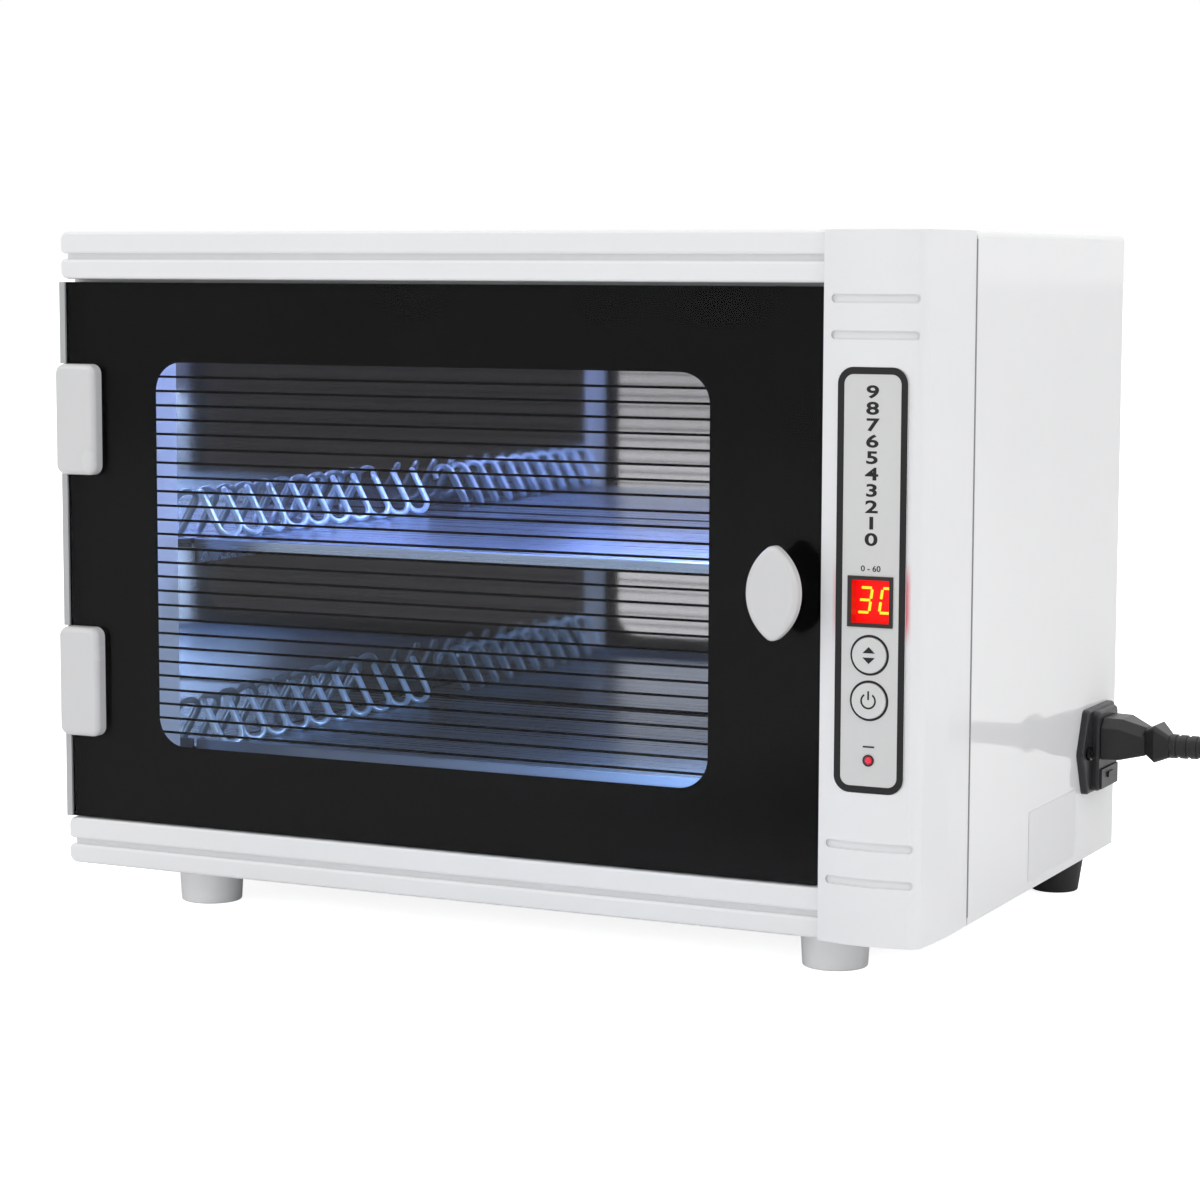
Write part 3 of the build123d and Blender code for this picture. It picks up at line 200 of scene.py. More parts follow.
class Effects:
    """The shader node groups that the finishes share, each built once."""

    dust_color = (0.7, 0.69, 0.67, 1)

    def __init__(self) -> None:
        """Builds every group."""
        self.mottle = self.build_mottle()
        self.grain = self.build_grain()
        self.streaks = self.build_streaks()
        self.dust = self.build_dust()

    @staticmethod
    def start(group: str, **inputs: str) -> tuple[Graph, Sockets]:
        """Makes a group whose inputs have the given socket kinds.

        Args:
            group: The group's name.
            inputs: Each input's socket kind. Every use of the group feeds all of them.

        Returns:
            The group's graph and what it is given, by name.
        """
        tree = bpy.data.node_groups.new(group, "ShaderNodeTree")
        for name, kind in inputs.items():
            tree.interface.new_socket(name=name, in_out="INPUT", socket_type="NodeSocket" + kind)
        return Graph(tree), tree.nodes.new("NodeGroupInput").outputs

    @staticmethod
    def finish(graph: Graph, **results: bpy.types.NodeSocket) -> bpy.types.NodeTree:
        """Gives a group an output for each of its results.

        Args:
            graph: The group's graph.
            results: The results' sockets, by name.

        Returns:
            The group's tree.
        """
        for name, result in results.items():
            kind = "NodeSocketColor" if result.type == "RGBA" else "NodeSocketFloat"
            graph.tree.interface.new_socket(name=name, in_out="OUTPUT", socket_type=kind)
        end = graph.tree.nodes.new("NodeGroupOutput")
        for name, result in results.items():
            graph.feed(end.inputs[name], result)
        return graph.tree

    @staticmethod
    def swing(graph: Graph, noise: bpy.types.NodeSocket, given: Sockets) -> bpy.types.NodeSocket:
        """Moves the given roughness up and down by a noise, as far as the given spread."""
        shift = graph.product(graph.math("SUBTRACT", noise, 0.5), given["Spread"])
        return graph.math("ADD", given["Roughness"], shift, clamp=True)

    def build_mottle(self) -> bpy.types.NodeTree:
        """A colour that drifts towards a second one in soft patches.

        Returns:
            The group's tree.
        """
        graph, given = self.start(
            "soft mottling", Color="Color", Shade="Color", Scale="Float", Amount="Float"
        )
        place, scale = graph.place(), given["Scale"]
        noise = graph.add("TexNoise", Vector=place, Scale=scale, Detail=4.0, Roughness=0.55)
        patches = graph.ramp(noise.outputs[0], 0.3, 0.7)
        mask = graph.math("MULTIPLY", patches, given["Amount"], clamp=True)
        return self.finish(graph, Color=graph.mix(mask, given["Color"], given["Shade"]))

    def build_grain(self) -> bpy.types.NodeTree:
        """The fine uneven skin of moulded or sprayed surfaces.

        Returns:
            The group's tree.
        """
        graph, given = self.start("fine grain", Scale="Float", Roughness="Float", Spread="Float")
        place = graph.place()
        wide_scale = graph.product(given["Scale"], 0.06)
        fine = graph.add("TexNoise", Vector=place, Scale=given["Scale"], Detail=3.0).outputs[0]
        wide = graph.add("TexNoise", Vector=place, Scale=wide_scale, Detail=2.0).outputs[0]
        height = graph.math("ADD", fine, graph.product(wide, 0.8))
        return self.finish(graph, Height=height, Roughness=self.swing(graph, wide, given))

    def build_streaks(self) -> bpy.types.NodeTree:
        """The long fine lines of drawn or brushed metal.

        Returns:
            The group's tree.
        """
        graph, given = self.start("drawn streaks", Stretch="Vector", Roughness="Float", Spread="Float")
        scaled = graph.add("VectorMath", {"operation": "MULTIPLY"}, (graph.place(), given["Stretch"]))
        noise = graph.add("TexNoise", Vector=scaled.outputs[0], Scale=1.0, Detail=5.0, Roughness=0.6)
        lines = noise.outputs[0]
        return self.finish(graph, Height=lines, Roughness=self.swing(graph, lines, given))

    def build_dust(self) -> bpy.types.NodeTree:
        """Fine dust that lies on what faces up.

        Returns:
            The group's tree.
        """
        graph, given = self.start("settled dust", Color="Color", Amount="Float")
        normal = graph.add("SeparateXYZ", values=(graph.add("NewGeometry").outputs["Normal"],))
        up = graph.math("POWER", graph.math("MAXIMUM", normal.outputs[2], 0.0), 2.0)
        speck = graph.add("TexNoise", Vector=graph.place(), Scale=260.0, Detail=6.0, Roughness=0.7)
        specks = graph.ramp(speck.outputs[0], 0.42, 0.75, 0.2, 1.0)
        mask = graph.math("MULTIPLY", graph.product(up, specks), given["Amount"], clamp=True)
        return self.finish(graph, Color=graph.mix(mask, given["Color"], self.dust_color))


@dataclass(frozen=True)
class Finish:
    """What one surface looks like, and the record's slot that it stands for."""

    name: str
    slot: str
    color: Colour
    shade: Colour
    roughness: float = 0.3
    spread: float = 0.08
    patch: float = 14.0
    metallic: float = 0.0
    coat: float = 0.0
    grain: float = 900.0
    bump: float = 0.02
    streaks: Optional[Colour] = None
    dust: float = 0.0
    transmission: float = 0.0
    refraction: float = 1.45
    glow: Optional[Colour] = None
    glow_strength: float = 0.0

    def build(self, effects: Effects) -> bpy.types.Material:
        """Makes the material.

        Args:
            effects: The shader node groups that the finishes share.

        Returns:
            The finished material.
        """
        material = bpy.data.materials.new(self.name)
        graph = Graph.fresh(material)
        shader = graph.add(
            "BsdfPrincipled", Metallic=self.metallic, IOR=self.refraction, Coat_Weight=self.coat,
            Coat_Roughness=0.04, Transmission_Weight=self.transmission,
            Emission_Strength=self.glow_strength,
        )
        color = graph.group(
            effects.mottle, Color=(*self.color, 1), Shade=(*self.shade, 1), Scale=self.patch, Amount=0.6
        ).outputs["Color"]
        if self.dust:
            color = graph.group(effects.dust, Color=color, Amount=self.dust).outputs["Color"]
        graph.feed(shader.inputs["Base Color"], color)
        if self.streaks:
            skin = graph.group(effects.streaks, Stretch=self.streaks)
        else:
            skin = graph.group(effects.grain, Scale=self.grain)
        skin.inputs["Roughness"].default_value = self.roughness
        skin.inputs["Spread"].default_value = self.spread
        graph.feed(shader.inputs["Roughness"], skin.outputs["Roughness"])
        if self.bump:
            height = skin.outputs["Height"]
            bump = graph.add("Bump", Height=height, Strength=self.bump, Distance=0.0004)
            graph.feed(shader.inputs["Normal"], bump.outputs[0])
        if self.glow:
            shader.inputs["Emission Color"].default_value = (*self.glow, 1)
        self.extend(graph, shader)
        graph.tree.nodes.active = graph.add("OutputMaterial", Surface=shader.outputs[0])
        return material

    def extend(self, graph: Graph, shader: bpy.types.Node) -> None:
        """A place for a finish's own extra nodes."""

    @staticmethod
    def tint(graph: Graph, shader: bpy.types.Node, mask: bpy.types.NodeSocket, color: Colour) -> None:
        """Lays another colour over the finish's own where a mask says so."""
        base = shader.inputs["Base Color"]
        graph.feed(base, graph.mix(mask, base.links[0].from_socket, (*color, 1)))


@dataclass(frozen=True)
class PaintedDisplayGlowFinish(Finish):
    """White plastic with the display's red light painted into its colour beside the panel. Its places are in
    metres.
    """

    centre_x: float = 0.0
    centre_z: float = 0.0
    half_width: float = 0.0132
    fade: float = 0.0024
    near_height: float = 0.005
    half_height: float = 0.017
    share_reach: float = 0.01
    shares: Pair = (0.5, 0.95)
    front_y: Pair = (-0.108, -0.106)
    # The colour of the painted red glow.
    light: Colour = (0.85, 0.1, 0.18)

    def extend(self, graph: Graph, shader: bpy.types.Node) -> None:
        """Paints the display's red light into the skin close to the panel's two long edges, more on the
        right.

        Args:
            graph: The material's graph.
            shader: The material's shader.
        """
        axes = graph.axes()
        over = graph.math("SUBTRACT", axes.outputs[0], self.centre_x)
        side = graph.math("SUBTRACT", graph.math("ABSOLUTE", over), self.half_width)
        near = graph.ramp(side, 0.0, self.fade, 1.0, 0.0, "SMOOTHSTEP")
        share = graph.ramp(over, -self.share_reach, self.share_reach, *self.shares)
        up = graph.math("ABSOLUTE", graph.math("SUBTRACT", axes.outputs[2], self.centre_z))
        level = graph.ramp(up, self.near_height, self.half_height, 1.0, 0.0, "SMOOTHSTEP")
        front = graph.ramp(axes.outputs[1], *self.front_y, 1.0, 0.0)
        # Painted light: the display's red glow is mixed into the base colour.
        self.tint(graph, shader, graph.product(near, share, level, front), self.light)


@dataclass(frozen=True)
class LampTubeFinish(Finish):
    """A glowing tube between two bright metal end caps. Its places are in metres."""

    centre_x: float = 0.0
    half_length: float = 0.0
    fade: float = 0.012
    cap_edge: float = 0.0002
    light: Colour = (0.36, 0.48, 1.0)

    def extend(self, graph: Graph, shader: bpy.types.Node) -> None:
        """Makes the glass between the caps glow, a little less towards its ends.

        Args:
            graph: The material's graph.
            shader: The material's shader.
        """
        over = graph.math("SUBTRACT", graph.axes().outputs[0], self.centre_x)
        across = graph.math("ABSOLUTE", over)
        edge = self.half_length
        lit = graph.ramp(across, edge - self.fade, edge, 1.0, 0.0)
        graph.feed(shader.inputs["Emission Color"], graph.mix(lit, (0, 0, 0, 1), (*self.light, 1)))
        graph.feed(shader.inputs["Metallic"], graph.ramp(across, edge - self.cap_edge, edge))


@dataclass(frozen=True)
class DisplayFaceFinish(Finish):
    """The display's lit red field, brighter near its middle. Its places are in metres."""

    centre_x: float = 0.0
    centre_z: float = 0.0
    reaches: Pair = (0.003, 0.011)
    middle_light: Colour = (1.0, 0.012, 0.008)
    edge_light: Colour = (0.45, 0.003, 0.006)

    def extend(self, graph: Graph, shader: bpy.types.Node) -> None:
        """Adds the red field's own light.

        Args:
            graph: The material's graph.
            shader: The material's shader.
        """
        axes = graph.axes()
        over = graph.math("SUBTRACT", axes.outputs[0], self.centre_x)
        up = graph.math("SUBTRACT", axes.outputs[2], self.centre_z)
        squares = graph.math("ADD", graph.product(over, over), graph.product(up, up))
        level = graph.ramp(graph.math("SQRT", squares), *self.reaches)
        glow = graph.mix(level, (*self.middle_light, 1), (*self.edge_light, 1))
        graph.feed(shader.inputs["Emission Color"], glow)


@dataclass(frozen=True)
class ScrewFinish(Finish):
    """Bright screws, blackened on the side where they hold the black inlet."""

    dark_from_x: float = 1.0
    dark: Colour = (0.025, 0.025, 0.027)

    def extend(self, graph: Graph, shader: bpy.types.Node) -> None:
        """Darkens what lies further right than the given place."""
        mask = graph.math("GREATER_THAN", graph.axes().outputs[0], self.dark_from_x)
        self.tint(graph, shader, mask, self.dark)


class Palette:
    """Every finish of the cabinet, by name."""

    panel_x = (RIGHT_X - 21.0) * MILLIMETRE
    display_z = (FOOT_HEIGHT + 126.5) * MILLIMETRE
    tube_x = (RIGHT_X - 209.0) * MILLIMETRE
    inlet_x = (RIGHT_X + 1.0) * MILLIMETRE
    white = (0.83, 0.835, 0.845)
    white_shade = (0.8, 0.805, 0.815)

    def __init__(self, effects: Effects) -> None:
        """Builds each material once.

        Args:
            effects: The shader node groups that the finishes share.
        """
        finishes = [*self.shell(), *self.panel(), *self.door(), *self.chamber(), *self.mains()]
        self.finishes = {finish.name: finish for finish in finishes}
        self.materials = {finish.name: finish.build(effects) for finish in finishes}

    def shell(self) -> list[Finish]:
        """The finishes of the covers, rails, feet, plate and seam."""
        return [
            Finish("sprayed white metal", "white_metal", (0.85, 0.855, 0.862), (0.82, 0.825, 0.835),
                   roughness=0.06, spread=0.02, grain=700.0, bump=0.003, dust=0.05),
            Finish("zinc plated steel", "pan_steel", (0.62, 0.64, 0.66), (0.5, 0.52, 0.54),
                   roughness=0.38, metallic=0.9, streaks=(25.0, 700.0, 700.0), bump=0.05),
            Finish("moulded white plastic", "white_plastic", self.white, self.white_shade,
                   roughness=0.24, coat=0.1, grain=1100.0, dust=0.04),
            # The white plastic made darker for the knob and hinge clamps: painted shade.
            Finish("moulded white plastic with painted shade", "white_plastic", (0.66, 0.662, 0.665),
                   (0.64, 0.642, 0.645), roughness=0.26, coat=0.1, grain=1100.0, dust=0.04),
            ScrewFinish("screw steel", "screw_steel", (0.66, 0.66, 0.67), (0.56, 0.56, 0.57),
                        roughness=0.22, metallic=1.0, grain=1200.0, bump=0.05, dark_from_x=self.inlet_x),
            Finish("pale foot plastic", "pale_foot", (0.86, 0.865, 0.87), (0.8, 0.805, 0.81),
                   roughness=0.42, grain=1000.0, bump=0.1),
            Finish("black foot rubber", "black_foot", (0.02, 0.02, 0.02), (0.035, 0.035, 0.035),
                   roughness=0.6, bump=0.2),
            # A guessed foam seal; its grey stands in for the shade in the seam.
            Finish("grey seal foam for seam shade", "black_foot", (0.24, 0.24, 0.245), (0.3, 0.3, 0.305),
                   roughness=0.7, spread=0.1, grain=1800.0, bump=0.2),
            Finish("bare label plate", "silver_panel", (0.8, 0.805, 0.815), (0.77, 0.775, 0.785),
                   roughness=0.4, spread=0.05),
        ]

    def panel(self) -> list[Finish]:
        """The finishes of the pod, its film, display, keys and lamp."""
        return [
            # The pod's white plastic, with the display's red light painted in beside the panel.
            PaintedDisplayGlowFinish("moulded white plastic with painted red display glow", "white_plastic", self.white,
                             self.white_shade, roughness=0.3, coat=0.05, grain=1100.0, dust=0.04,
                             centre_x=self.panel_x, centre_z=self.display_z),
            Finish("silver grey film", "silver_panel", (0.67, 0.675, 0.67), (0.63, 0.635, 0.63),
                   roughness=0.34, spread=0.06, metallic=0.15, streaks=(900.0, 900.0, 40.0), bump=0.04),
            Finish("black print", "black_print", (0.006, 0.006, 0.007), (0.01, 0.01, 0.011),
                   roughness=0.4, spread=0.05, bump=0.01),
            Finish("dark display frame", "dark_frame", (0.024, 0.018, 0.018), (0.035, 0.025, 0.025),
                   roughness=0.55, spread=0.1),
            Finish("red display pane", "red_window", (1.0, 0.8, 0.7), (1.0, 0.76, 0.66),
                   roughness=0.02, spread=0.01, transmission=1.0, bump=0.0, refraction=1.04,
                   glow=(0.8, 0.003, 0.005), glow_strength=0.42),
            DisplayFaceFinish("lit red field", "display_face", (0.5, 0.01, 0.01), (0.4, 0.01, 0.01),
                              roughness=0.5, centre_x=self.panel_x, centre_z=self.display_z,
                              glow_strength=0.4),
            Finish("lit figures", "lit_figures", (1.0, 0.7, 0.1), (1.0, 0.55, 0.05),
                   roughness=0.4, glow=(1.0, 0.6, 0.03), glow_strength=1.7),
            Finish("key film", "key_face", (0.66, 0.67, 0.665), (0.62, 0.63, 0.625),
                   streaks=(900.0, 900.0, 40.0), bump=0.03),
            Finish("dark switch plastic", "switch_body", (0.03, 0.03, 0.032), (0.05, 0.05, 0.052),
                   roughness=0.45),
            Finish("red lens", "red_lens", (0.75, 0.02, 0.06), (0.6, 0.01, 0.04),
                   roughness=0.12, coat=0.6, glow=(1.0, 0.03, 0.1), glow_strength=0.2),
            Finish("lacquered board", "board", (0.03, 0.16, 0.06), (0.02, 0.11, 0.04),
                   patch=90.0, coat=0.3),
        ]

    def door(self) -> list[Finish]:
        """The finishes of the door's glass, print, trim and fittings."""
        return [
            Finish("clear door glass", "door_pane", (0.93, 0.94, 0.96), (0.92, 0.93, 0.95),
                   roughness=0.0, spread=0.0, transmission=1.0, bump=0.0, refraction=1.24),
            Finish("dark print behind the glass", "black_print", (0.003, 0.003, 0.0032),
                   (0.005, 0.005, 0.0055), roughness=0.5, spread=0.02, bump=0.0, refraction=1.08),
            Finish("pale edge trim", "pale_trim", (0.47, 0.475, 0.48), (0.42, 0.425, 0.43),
                   metallic=0.35, streaks=(800.0, 800.0, 20.0)),
            Finish("hinge steel", "hinge_steel", (0.6, 0.61, 0.63), (0.5, 0.51, 0.53),
                   metallic=1.0, streaks=(600.0, 600.0, 20.0)),
            Finish("dark catch plastic", "catch_plastic", (0.06, 0.06, 0.063), (0.09, 0.09, 0.092),
                   roughness=0.4),
            Finish("plunger plastic", "plunger_plastic", (0.8, 0.8, 0.8), (0.74, 0.74, 0.74),
                   roughness=0.2),
        ]

    def chamber(self) -> list[Finish]:
        """The finishes of the chamber, trays, racks and lamp."""
        return [
            Finish("bright chamber steel", "bright_steel", (0.56, 0.55, 0.55), (0.52, 0.51, 0.51),
                   roughness=0.05, spread=0.02, metallic=1.0, streaks=(14.0, 20.0, 700.0), bump=0.004),
            # Its blue tint is painted light of the blue lamp tube on the steel.
            Finish("tray steel with painted blue light", "tray_steel", (0.37, 0.46, 0.6), (0.25, 0.33, 0.48),
                   roughness=0.28, spread=0.18, metallic=0.86, streaks=(2.0, 420.0, 420.0), bump=0.24),
            # Its blue tint and faint blue glow are painted light of the lamp tube on the wire.
            Finish("rack wire with painted blue light", "rack_wire", (0.72, 0.84, 0.97), (0.64, 0.76, 0.9),
                   metallic=0.55, grain=1500.0, bump=0.01, glow=(0.26, 0.52, 0.85), glow_strength=0.07),
            LampTubeFinish("lit lamp tube", "tube_glass", (0.8, 0.8, 0.95), (0.75, 0.75, 0.9),
                           roughness=0.12, spread=0.02, centre_x=self.tube_x, half_length=0.097,
                           glow_strength=24.0),
            Finish("lamp holder plastic", "holder_plastic", (0.78, 0.77, 0.73), (0.7, 0.69, 0.65),
                   roughness=0.35),
            Finish("ballast paint", "ballast_case", (0.3, 0.31, 0.33), (0.24, 0.25, 0.27),
                   roughness=0.4, grain=1600.0, bump=0.1),
        ]

    @staticmethod
    def mains() -> list[Finish]:
        """The finishes of the inlet, fuse, connector, lead and tie."""
        return [
            Finish("black moulded plastic", "black_plastic", (0.022, 0.022, 0.024), (0.035, 0.035, 0.038),
                   roughness=0.38, spread=0.12, grain=1500.0, bump=0.14),
            Finish("contact brass", "contact_brass", (0.75, 0.6, 0.3), (0.62, 0.48, 0.22),
                   roughness=0.22, metallic=1.0, streaks=(30.0, 800.0, 800.0)),
            Finish("fuse glass", "fuse_glass", (0.85, 0.87, 0.87), (0.8, 0.82, 0.82),
                   roughness=0.03, transmission=1.0, bump=0.0),
            Finish("lead sheath", "lead_black", (0.016, 0.016, 0.017), (0.028, 0.028, 0.03),
                   roughness=0.36, spread=0.12, grain=1300.0, bump=0.12),
            Finish("cloth tie", "lead_black", (0.02, 0.02, 0.022), (0.045, 0.045, 0.05),
                   roughness=0.8, spread=0.1, grain=2600.0, bump=0.5),
        ]

    def paint(self, thing: bpy.types.Object, name: str) -> None:
        """Gives an object one of the finishes in place of what it has.

        Args:
            thing: The object.
            name: The finish.
        """
        if not thing.material_slots:
            thing.data.materials.append(None)
        for slot in thing.material_slots:
            slot.material = self.materials[name]

    def settle(self, piece: bpy.types.Object, name: str, body: str) -> bpy.types.Object:
        """Finishes a new piece: its material and the body that it rides on.

        Args:
            piece: The new object, in place.
            name: The finish.
            body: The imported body's name.

        Returns:
            The same object.
        """
        self.paint(piece, name)
        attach(piece, body)
        log.info("piece %s in %s rides on %s", piece.name, name, body)
        return piece


def link(name: str, data: bpy.types.ID) -> bpy.types.Object:
    """Makes an object of some data and puts it in the scene.

    Args:
        name: The object's name.
        data: A mesh, curve, camera or light.

    Returns:
        The object.
    """
    thing = bpy.data.objects.new(name, data)
    bpy.context.scene.collection.objects.link(thing)
    return thing


def from_work(name: str, work: bmesh.types.BMesh) -> bpy.types.Object:
    """Makes an object of finished mesh work and puts it in the scene.

    Args:
        name: The object's name.
        work: The mesh work, which is used up.

    Returns:
        The object.
    """
    mesh = bpy.data.meshes.new(name)
    work.to_mesh(mesh)
    work.free()
    return link(name, mesh)


def circle(radius: float, count: int = 64, centre: Pair = (0, 0)) -> Outline:
    """Points of a circle, in millimetres."""
    turns = [2 * pi * k / count for k in range(count)]
    return [(centre[0] + radius * cos(a), centre[1] + radius * sin(a)) for a in turns]


def arc(radius: float, start: float, end: float, count: int = 48) -> Outline:
    """Points of an arc, in millimetres, between two clock directions in degrees."""
    turns = [radians(start + (end - start) * k / count) for k in range(count + 1)]
    return [(radius * sin(a), radius * cos(a)) for a in turns]


def box(left: float, low: float, right: float, high: float) -> Outline:
    """The four corners of a plain box, in millimetres."""
    return [(left, low), (right, low), (right, high), (left, high)]


def rounded_box(
    width: float, height: float, radius: float, centre: Pair = (0, 0), steps: int = 10
) -> Outline:
    """Points of a box with round corners, in millimetres.

    Args:
        width: The box's full width.
        height: Its full height.
        radius: Its corners' radius.
        centre: Its middle.
        steps: How many steps each corner has.

    Returns:
        The outline.
    """
    points = []
    for quarter, (sx, sy) in enumerate(((1, 1), (-1, 1), (-1, -1), (1, -1))):
        middle = (centre[0] + sx * (width / 2 - radius), centre[1] + sy * (height / 2 - radius))
        for step in range(steps + 1):
            angle = (quarter + step / steps) * pi / 2
            points.append((middle[0] + radius * cos(angle), middle[1] + radius * sin(angle)))
    return points


def as_mesh(name: str, curve: bpy.types.Curve, turn: Matrix, origin: Vector) -> bpy.types.Object:
    """Turns a curve or some figures into a mesh.

    Args:
        name: The object's name.
        curve: The curve or figures, which are drawn flat.
        turn: How their plane is turned.
        origin: Where their origin goes, in metres.

    Returns:
        The mesh's object.
    """
    source = link("source of " + name.replace("_", " "), curve)
    bpy.context.view_layer.update()
    mesh = bpy.data.meshes.new_from_object(source.evaluated_get(bpy.context.evaluated_depsgraph_get()))
    bpy.data.objects.remove(source)
    mesh.transform(Matrix.Translation(origin) @ turn.to_4x4())
    mesh.name = name
    return link(name, mesh)


def drawn(
    name: str, outlines: Sequence[Outline], facing: Facing, origin: Vector, thickness: float
) -> bpy.types.Object:
    """Makes a thin flat piece from closed outlines, with the inner ones as holes.

    Args:
        name: The piece's name.
        outlines: Closed outlines in millimetres.
        facing: Which way the piece looks.
        origin: The middle of its back, in metres.
        thickness: How far it stands out, in millimetres.

    Returns:
        The piece.
    """
    half = thickness / 2 * MILLIMETRE
    curve = bpy.data.curves.new(name, "CURVE")
    curve.dimensions = "2D"
    curve.fill_mode = "BOTH"
    curve.extrude = half
    for outline in outlines:
        spline = curve.splines.new("POLY")
        spline.points.add(len(outline) - 1)
        for point, (x, y) in zip(spline.points, outline):
            point.co = (x * MILLIMETRE, y * MILLIMETRE, half, 1)
        spline.use_cyclic_u = True
    return as_mesh(name, curve, facing.value, origin + facing.value @ Vector((0, 0, half)))


def figures(
    name: str, text: str, middle: Vector, height: float, stretch: float, weight: float
) -> bpy.types.Object:
    """Makes thin printed figures that face the front.

    Args:
        name: The piece's name.
        text: The figures.
        middle: Their middle, in metres.
        height: Their height in millimetres.
        stretch: How much wider than usual they are.
        weight: How far their strokes are thickened, in millimetres.

    Returns:
        The piece.
    """
    height_share = 0.72
    half_thickness = 0.03
    curve = bpy.data.curves.new(name, "FONT")
    curve.body = text
    curve.align_x = "CENTER"
    curve.align_y = "CENTER"
    curve.size = height / height_share * MILLIMETRE
    curve.offset = weight * MILLIMETRE
    curve.extrude = half_thickness * MILLIMETRE
    return as_mesh(name, curve, Facing.FRONT.value @ Matrix.Diagonal((stretch, 1.0, 1.0)), middle)


def joined(name: str, parts: Sequence[bpy.types.Object]) -> bpy.types.Object:
    """Joins mesh objects into one.

    Args:
        name: The one object's name.
        parts: The mesh objects, which are used up.

    Returns:
        The one object.
    """
    work = bmesh.new()
    for part in parts:
        work.from_mesh(part.data)
        bpy.data.objects.remove(part)
    return from_work(name, work)


@dataclass
class Assembly:
    """One sub-assembly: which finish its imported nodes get, and the pieces that it adds to them."""

    looks: ClassVar[Looks] = {}

    palette: Palette

    def dress(self) -> None:
        """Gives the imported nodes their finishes."""
        for name, nodes in self.looks.items():
            for node in nodes:
                self.palette.paint(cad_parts[node], name)
        log.info("%s dressed", type(self).__name__)

    def build(self) -> None:
        """Adds the assembly's own pieces, if it has any."""


@dataclass
class Shell(Assembly):
    """The cabinet's covers, feet and screws, its bare side plate and a grey seal in its seam that paints the
    seam's shade.
    """

    looks: ClassVar[Looks] = {
        "sprayed white metal": ("cabinet_cover", "rear_panel"),
        "zinc plated steel": ("base_pan",),
        "moulded white plastic": ("front_frame", "top_rail", "bottom_rail"),
        "pale foot plastic": ("front_left_foot", "front_right_foot"),
        "black foot rubber": ("rear_left_foot", "rear_right_foot"),
        "screw steel": ("foot_screws", "cabinet_screws"),
    }

    # Name, finish, size, corners' radius, place and thickness of the flat pieces on the right side
    flats: Sequence[tuple[str, str, Pair, float, Place, float]] = (
        ("side_plate", "bare label plate", (62.4, 28.0), 1.2, (0.0, 151.2, 17.6), 0.12),
        # The seam's grey seal paints the dark line of shade in the gap between pod and cover.
        ("seam_shade_seal", "grey seal foam for seam shade", (1.16, 254.0), 0.4, (-0.7, 46.6, 130.0), 0.6),
    )
    slot_arm: float = 0.35
    slot_half: float = 1.5
    slot_thick: float = 0.08
    panel_screws: Sequence[Pair] = ((-369.5, 65.0), (-369.5, 208.0), (-5.5, 65.0), (-5.5, 208.0))
    panel_slot_v: float = 238.35
    pan_screws: Sequence[Pair] = ((-300.0, 6.0), (-75.0, 6.0))
    pan_slot_v: float = 237.35
    inlet_screws: Pair = (188.7, 227.7)
    inlet_slot_u: float = 4.55
    inlet_slot_w: float = 45.8

    def build(self) -> None:
        """Makes the side plate, the seam's grey seal of painted shade and the screws' cross slots of painted
        shade.
        """
        for name, finish, size, radius, place, thick in self.flats:
            flat = drawn(name, [rounded_box(*size, radius)], Facing.RIGHT, spot(*place), thick)
            self.palette.settle(flat, finish, "cabinet")
        self.build_slots()

    def build_slots(self) -> None:
        """Draws the cross slots of the screws behind and at the inlet as flat black crosses of painted
        shade, as one piece.
        """
        arm, half = self.slot_arm, self.slot_half
        cross = [
            (-half, -arm), (-arm, -arm), (-arm, -half), (arm, -half), (arm, -arm), (half, -arm),
            (half, arm), (arm, arm), (arm, half), (-arm, half), (-arm, arm), (-half, arm),
        ]
        places = [(Facing.BACK, spot(u, self.panel_slot_v, w)) for u, w in self.panel_screws]
        places += [(Facing.BACK, spot(u, self.pan_slot_v, w)) for u, w in self.pan_screws]
        places += [(Facing.RIGHT, spot(self.inlet_slot_u, v, self.inlet_slot_w)) for v in self.inlet_screws]
        slots = [
            drawn(f"slot_{index}", [cross], facing, place, self.slot_thick)
            for index, (facing, place) in enumerate(places)
        ]
        # Painted shade: black crosses where the slots' hollows fall dark.
        self.palette.settle(joined("screw_slots", slots), "black print", "cabinet")


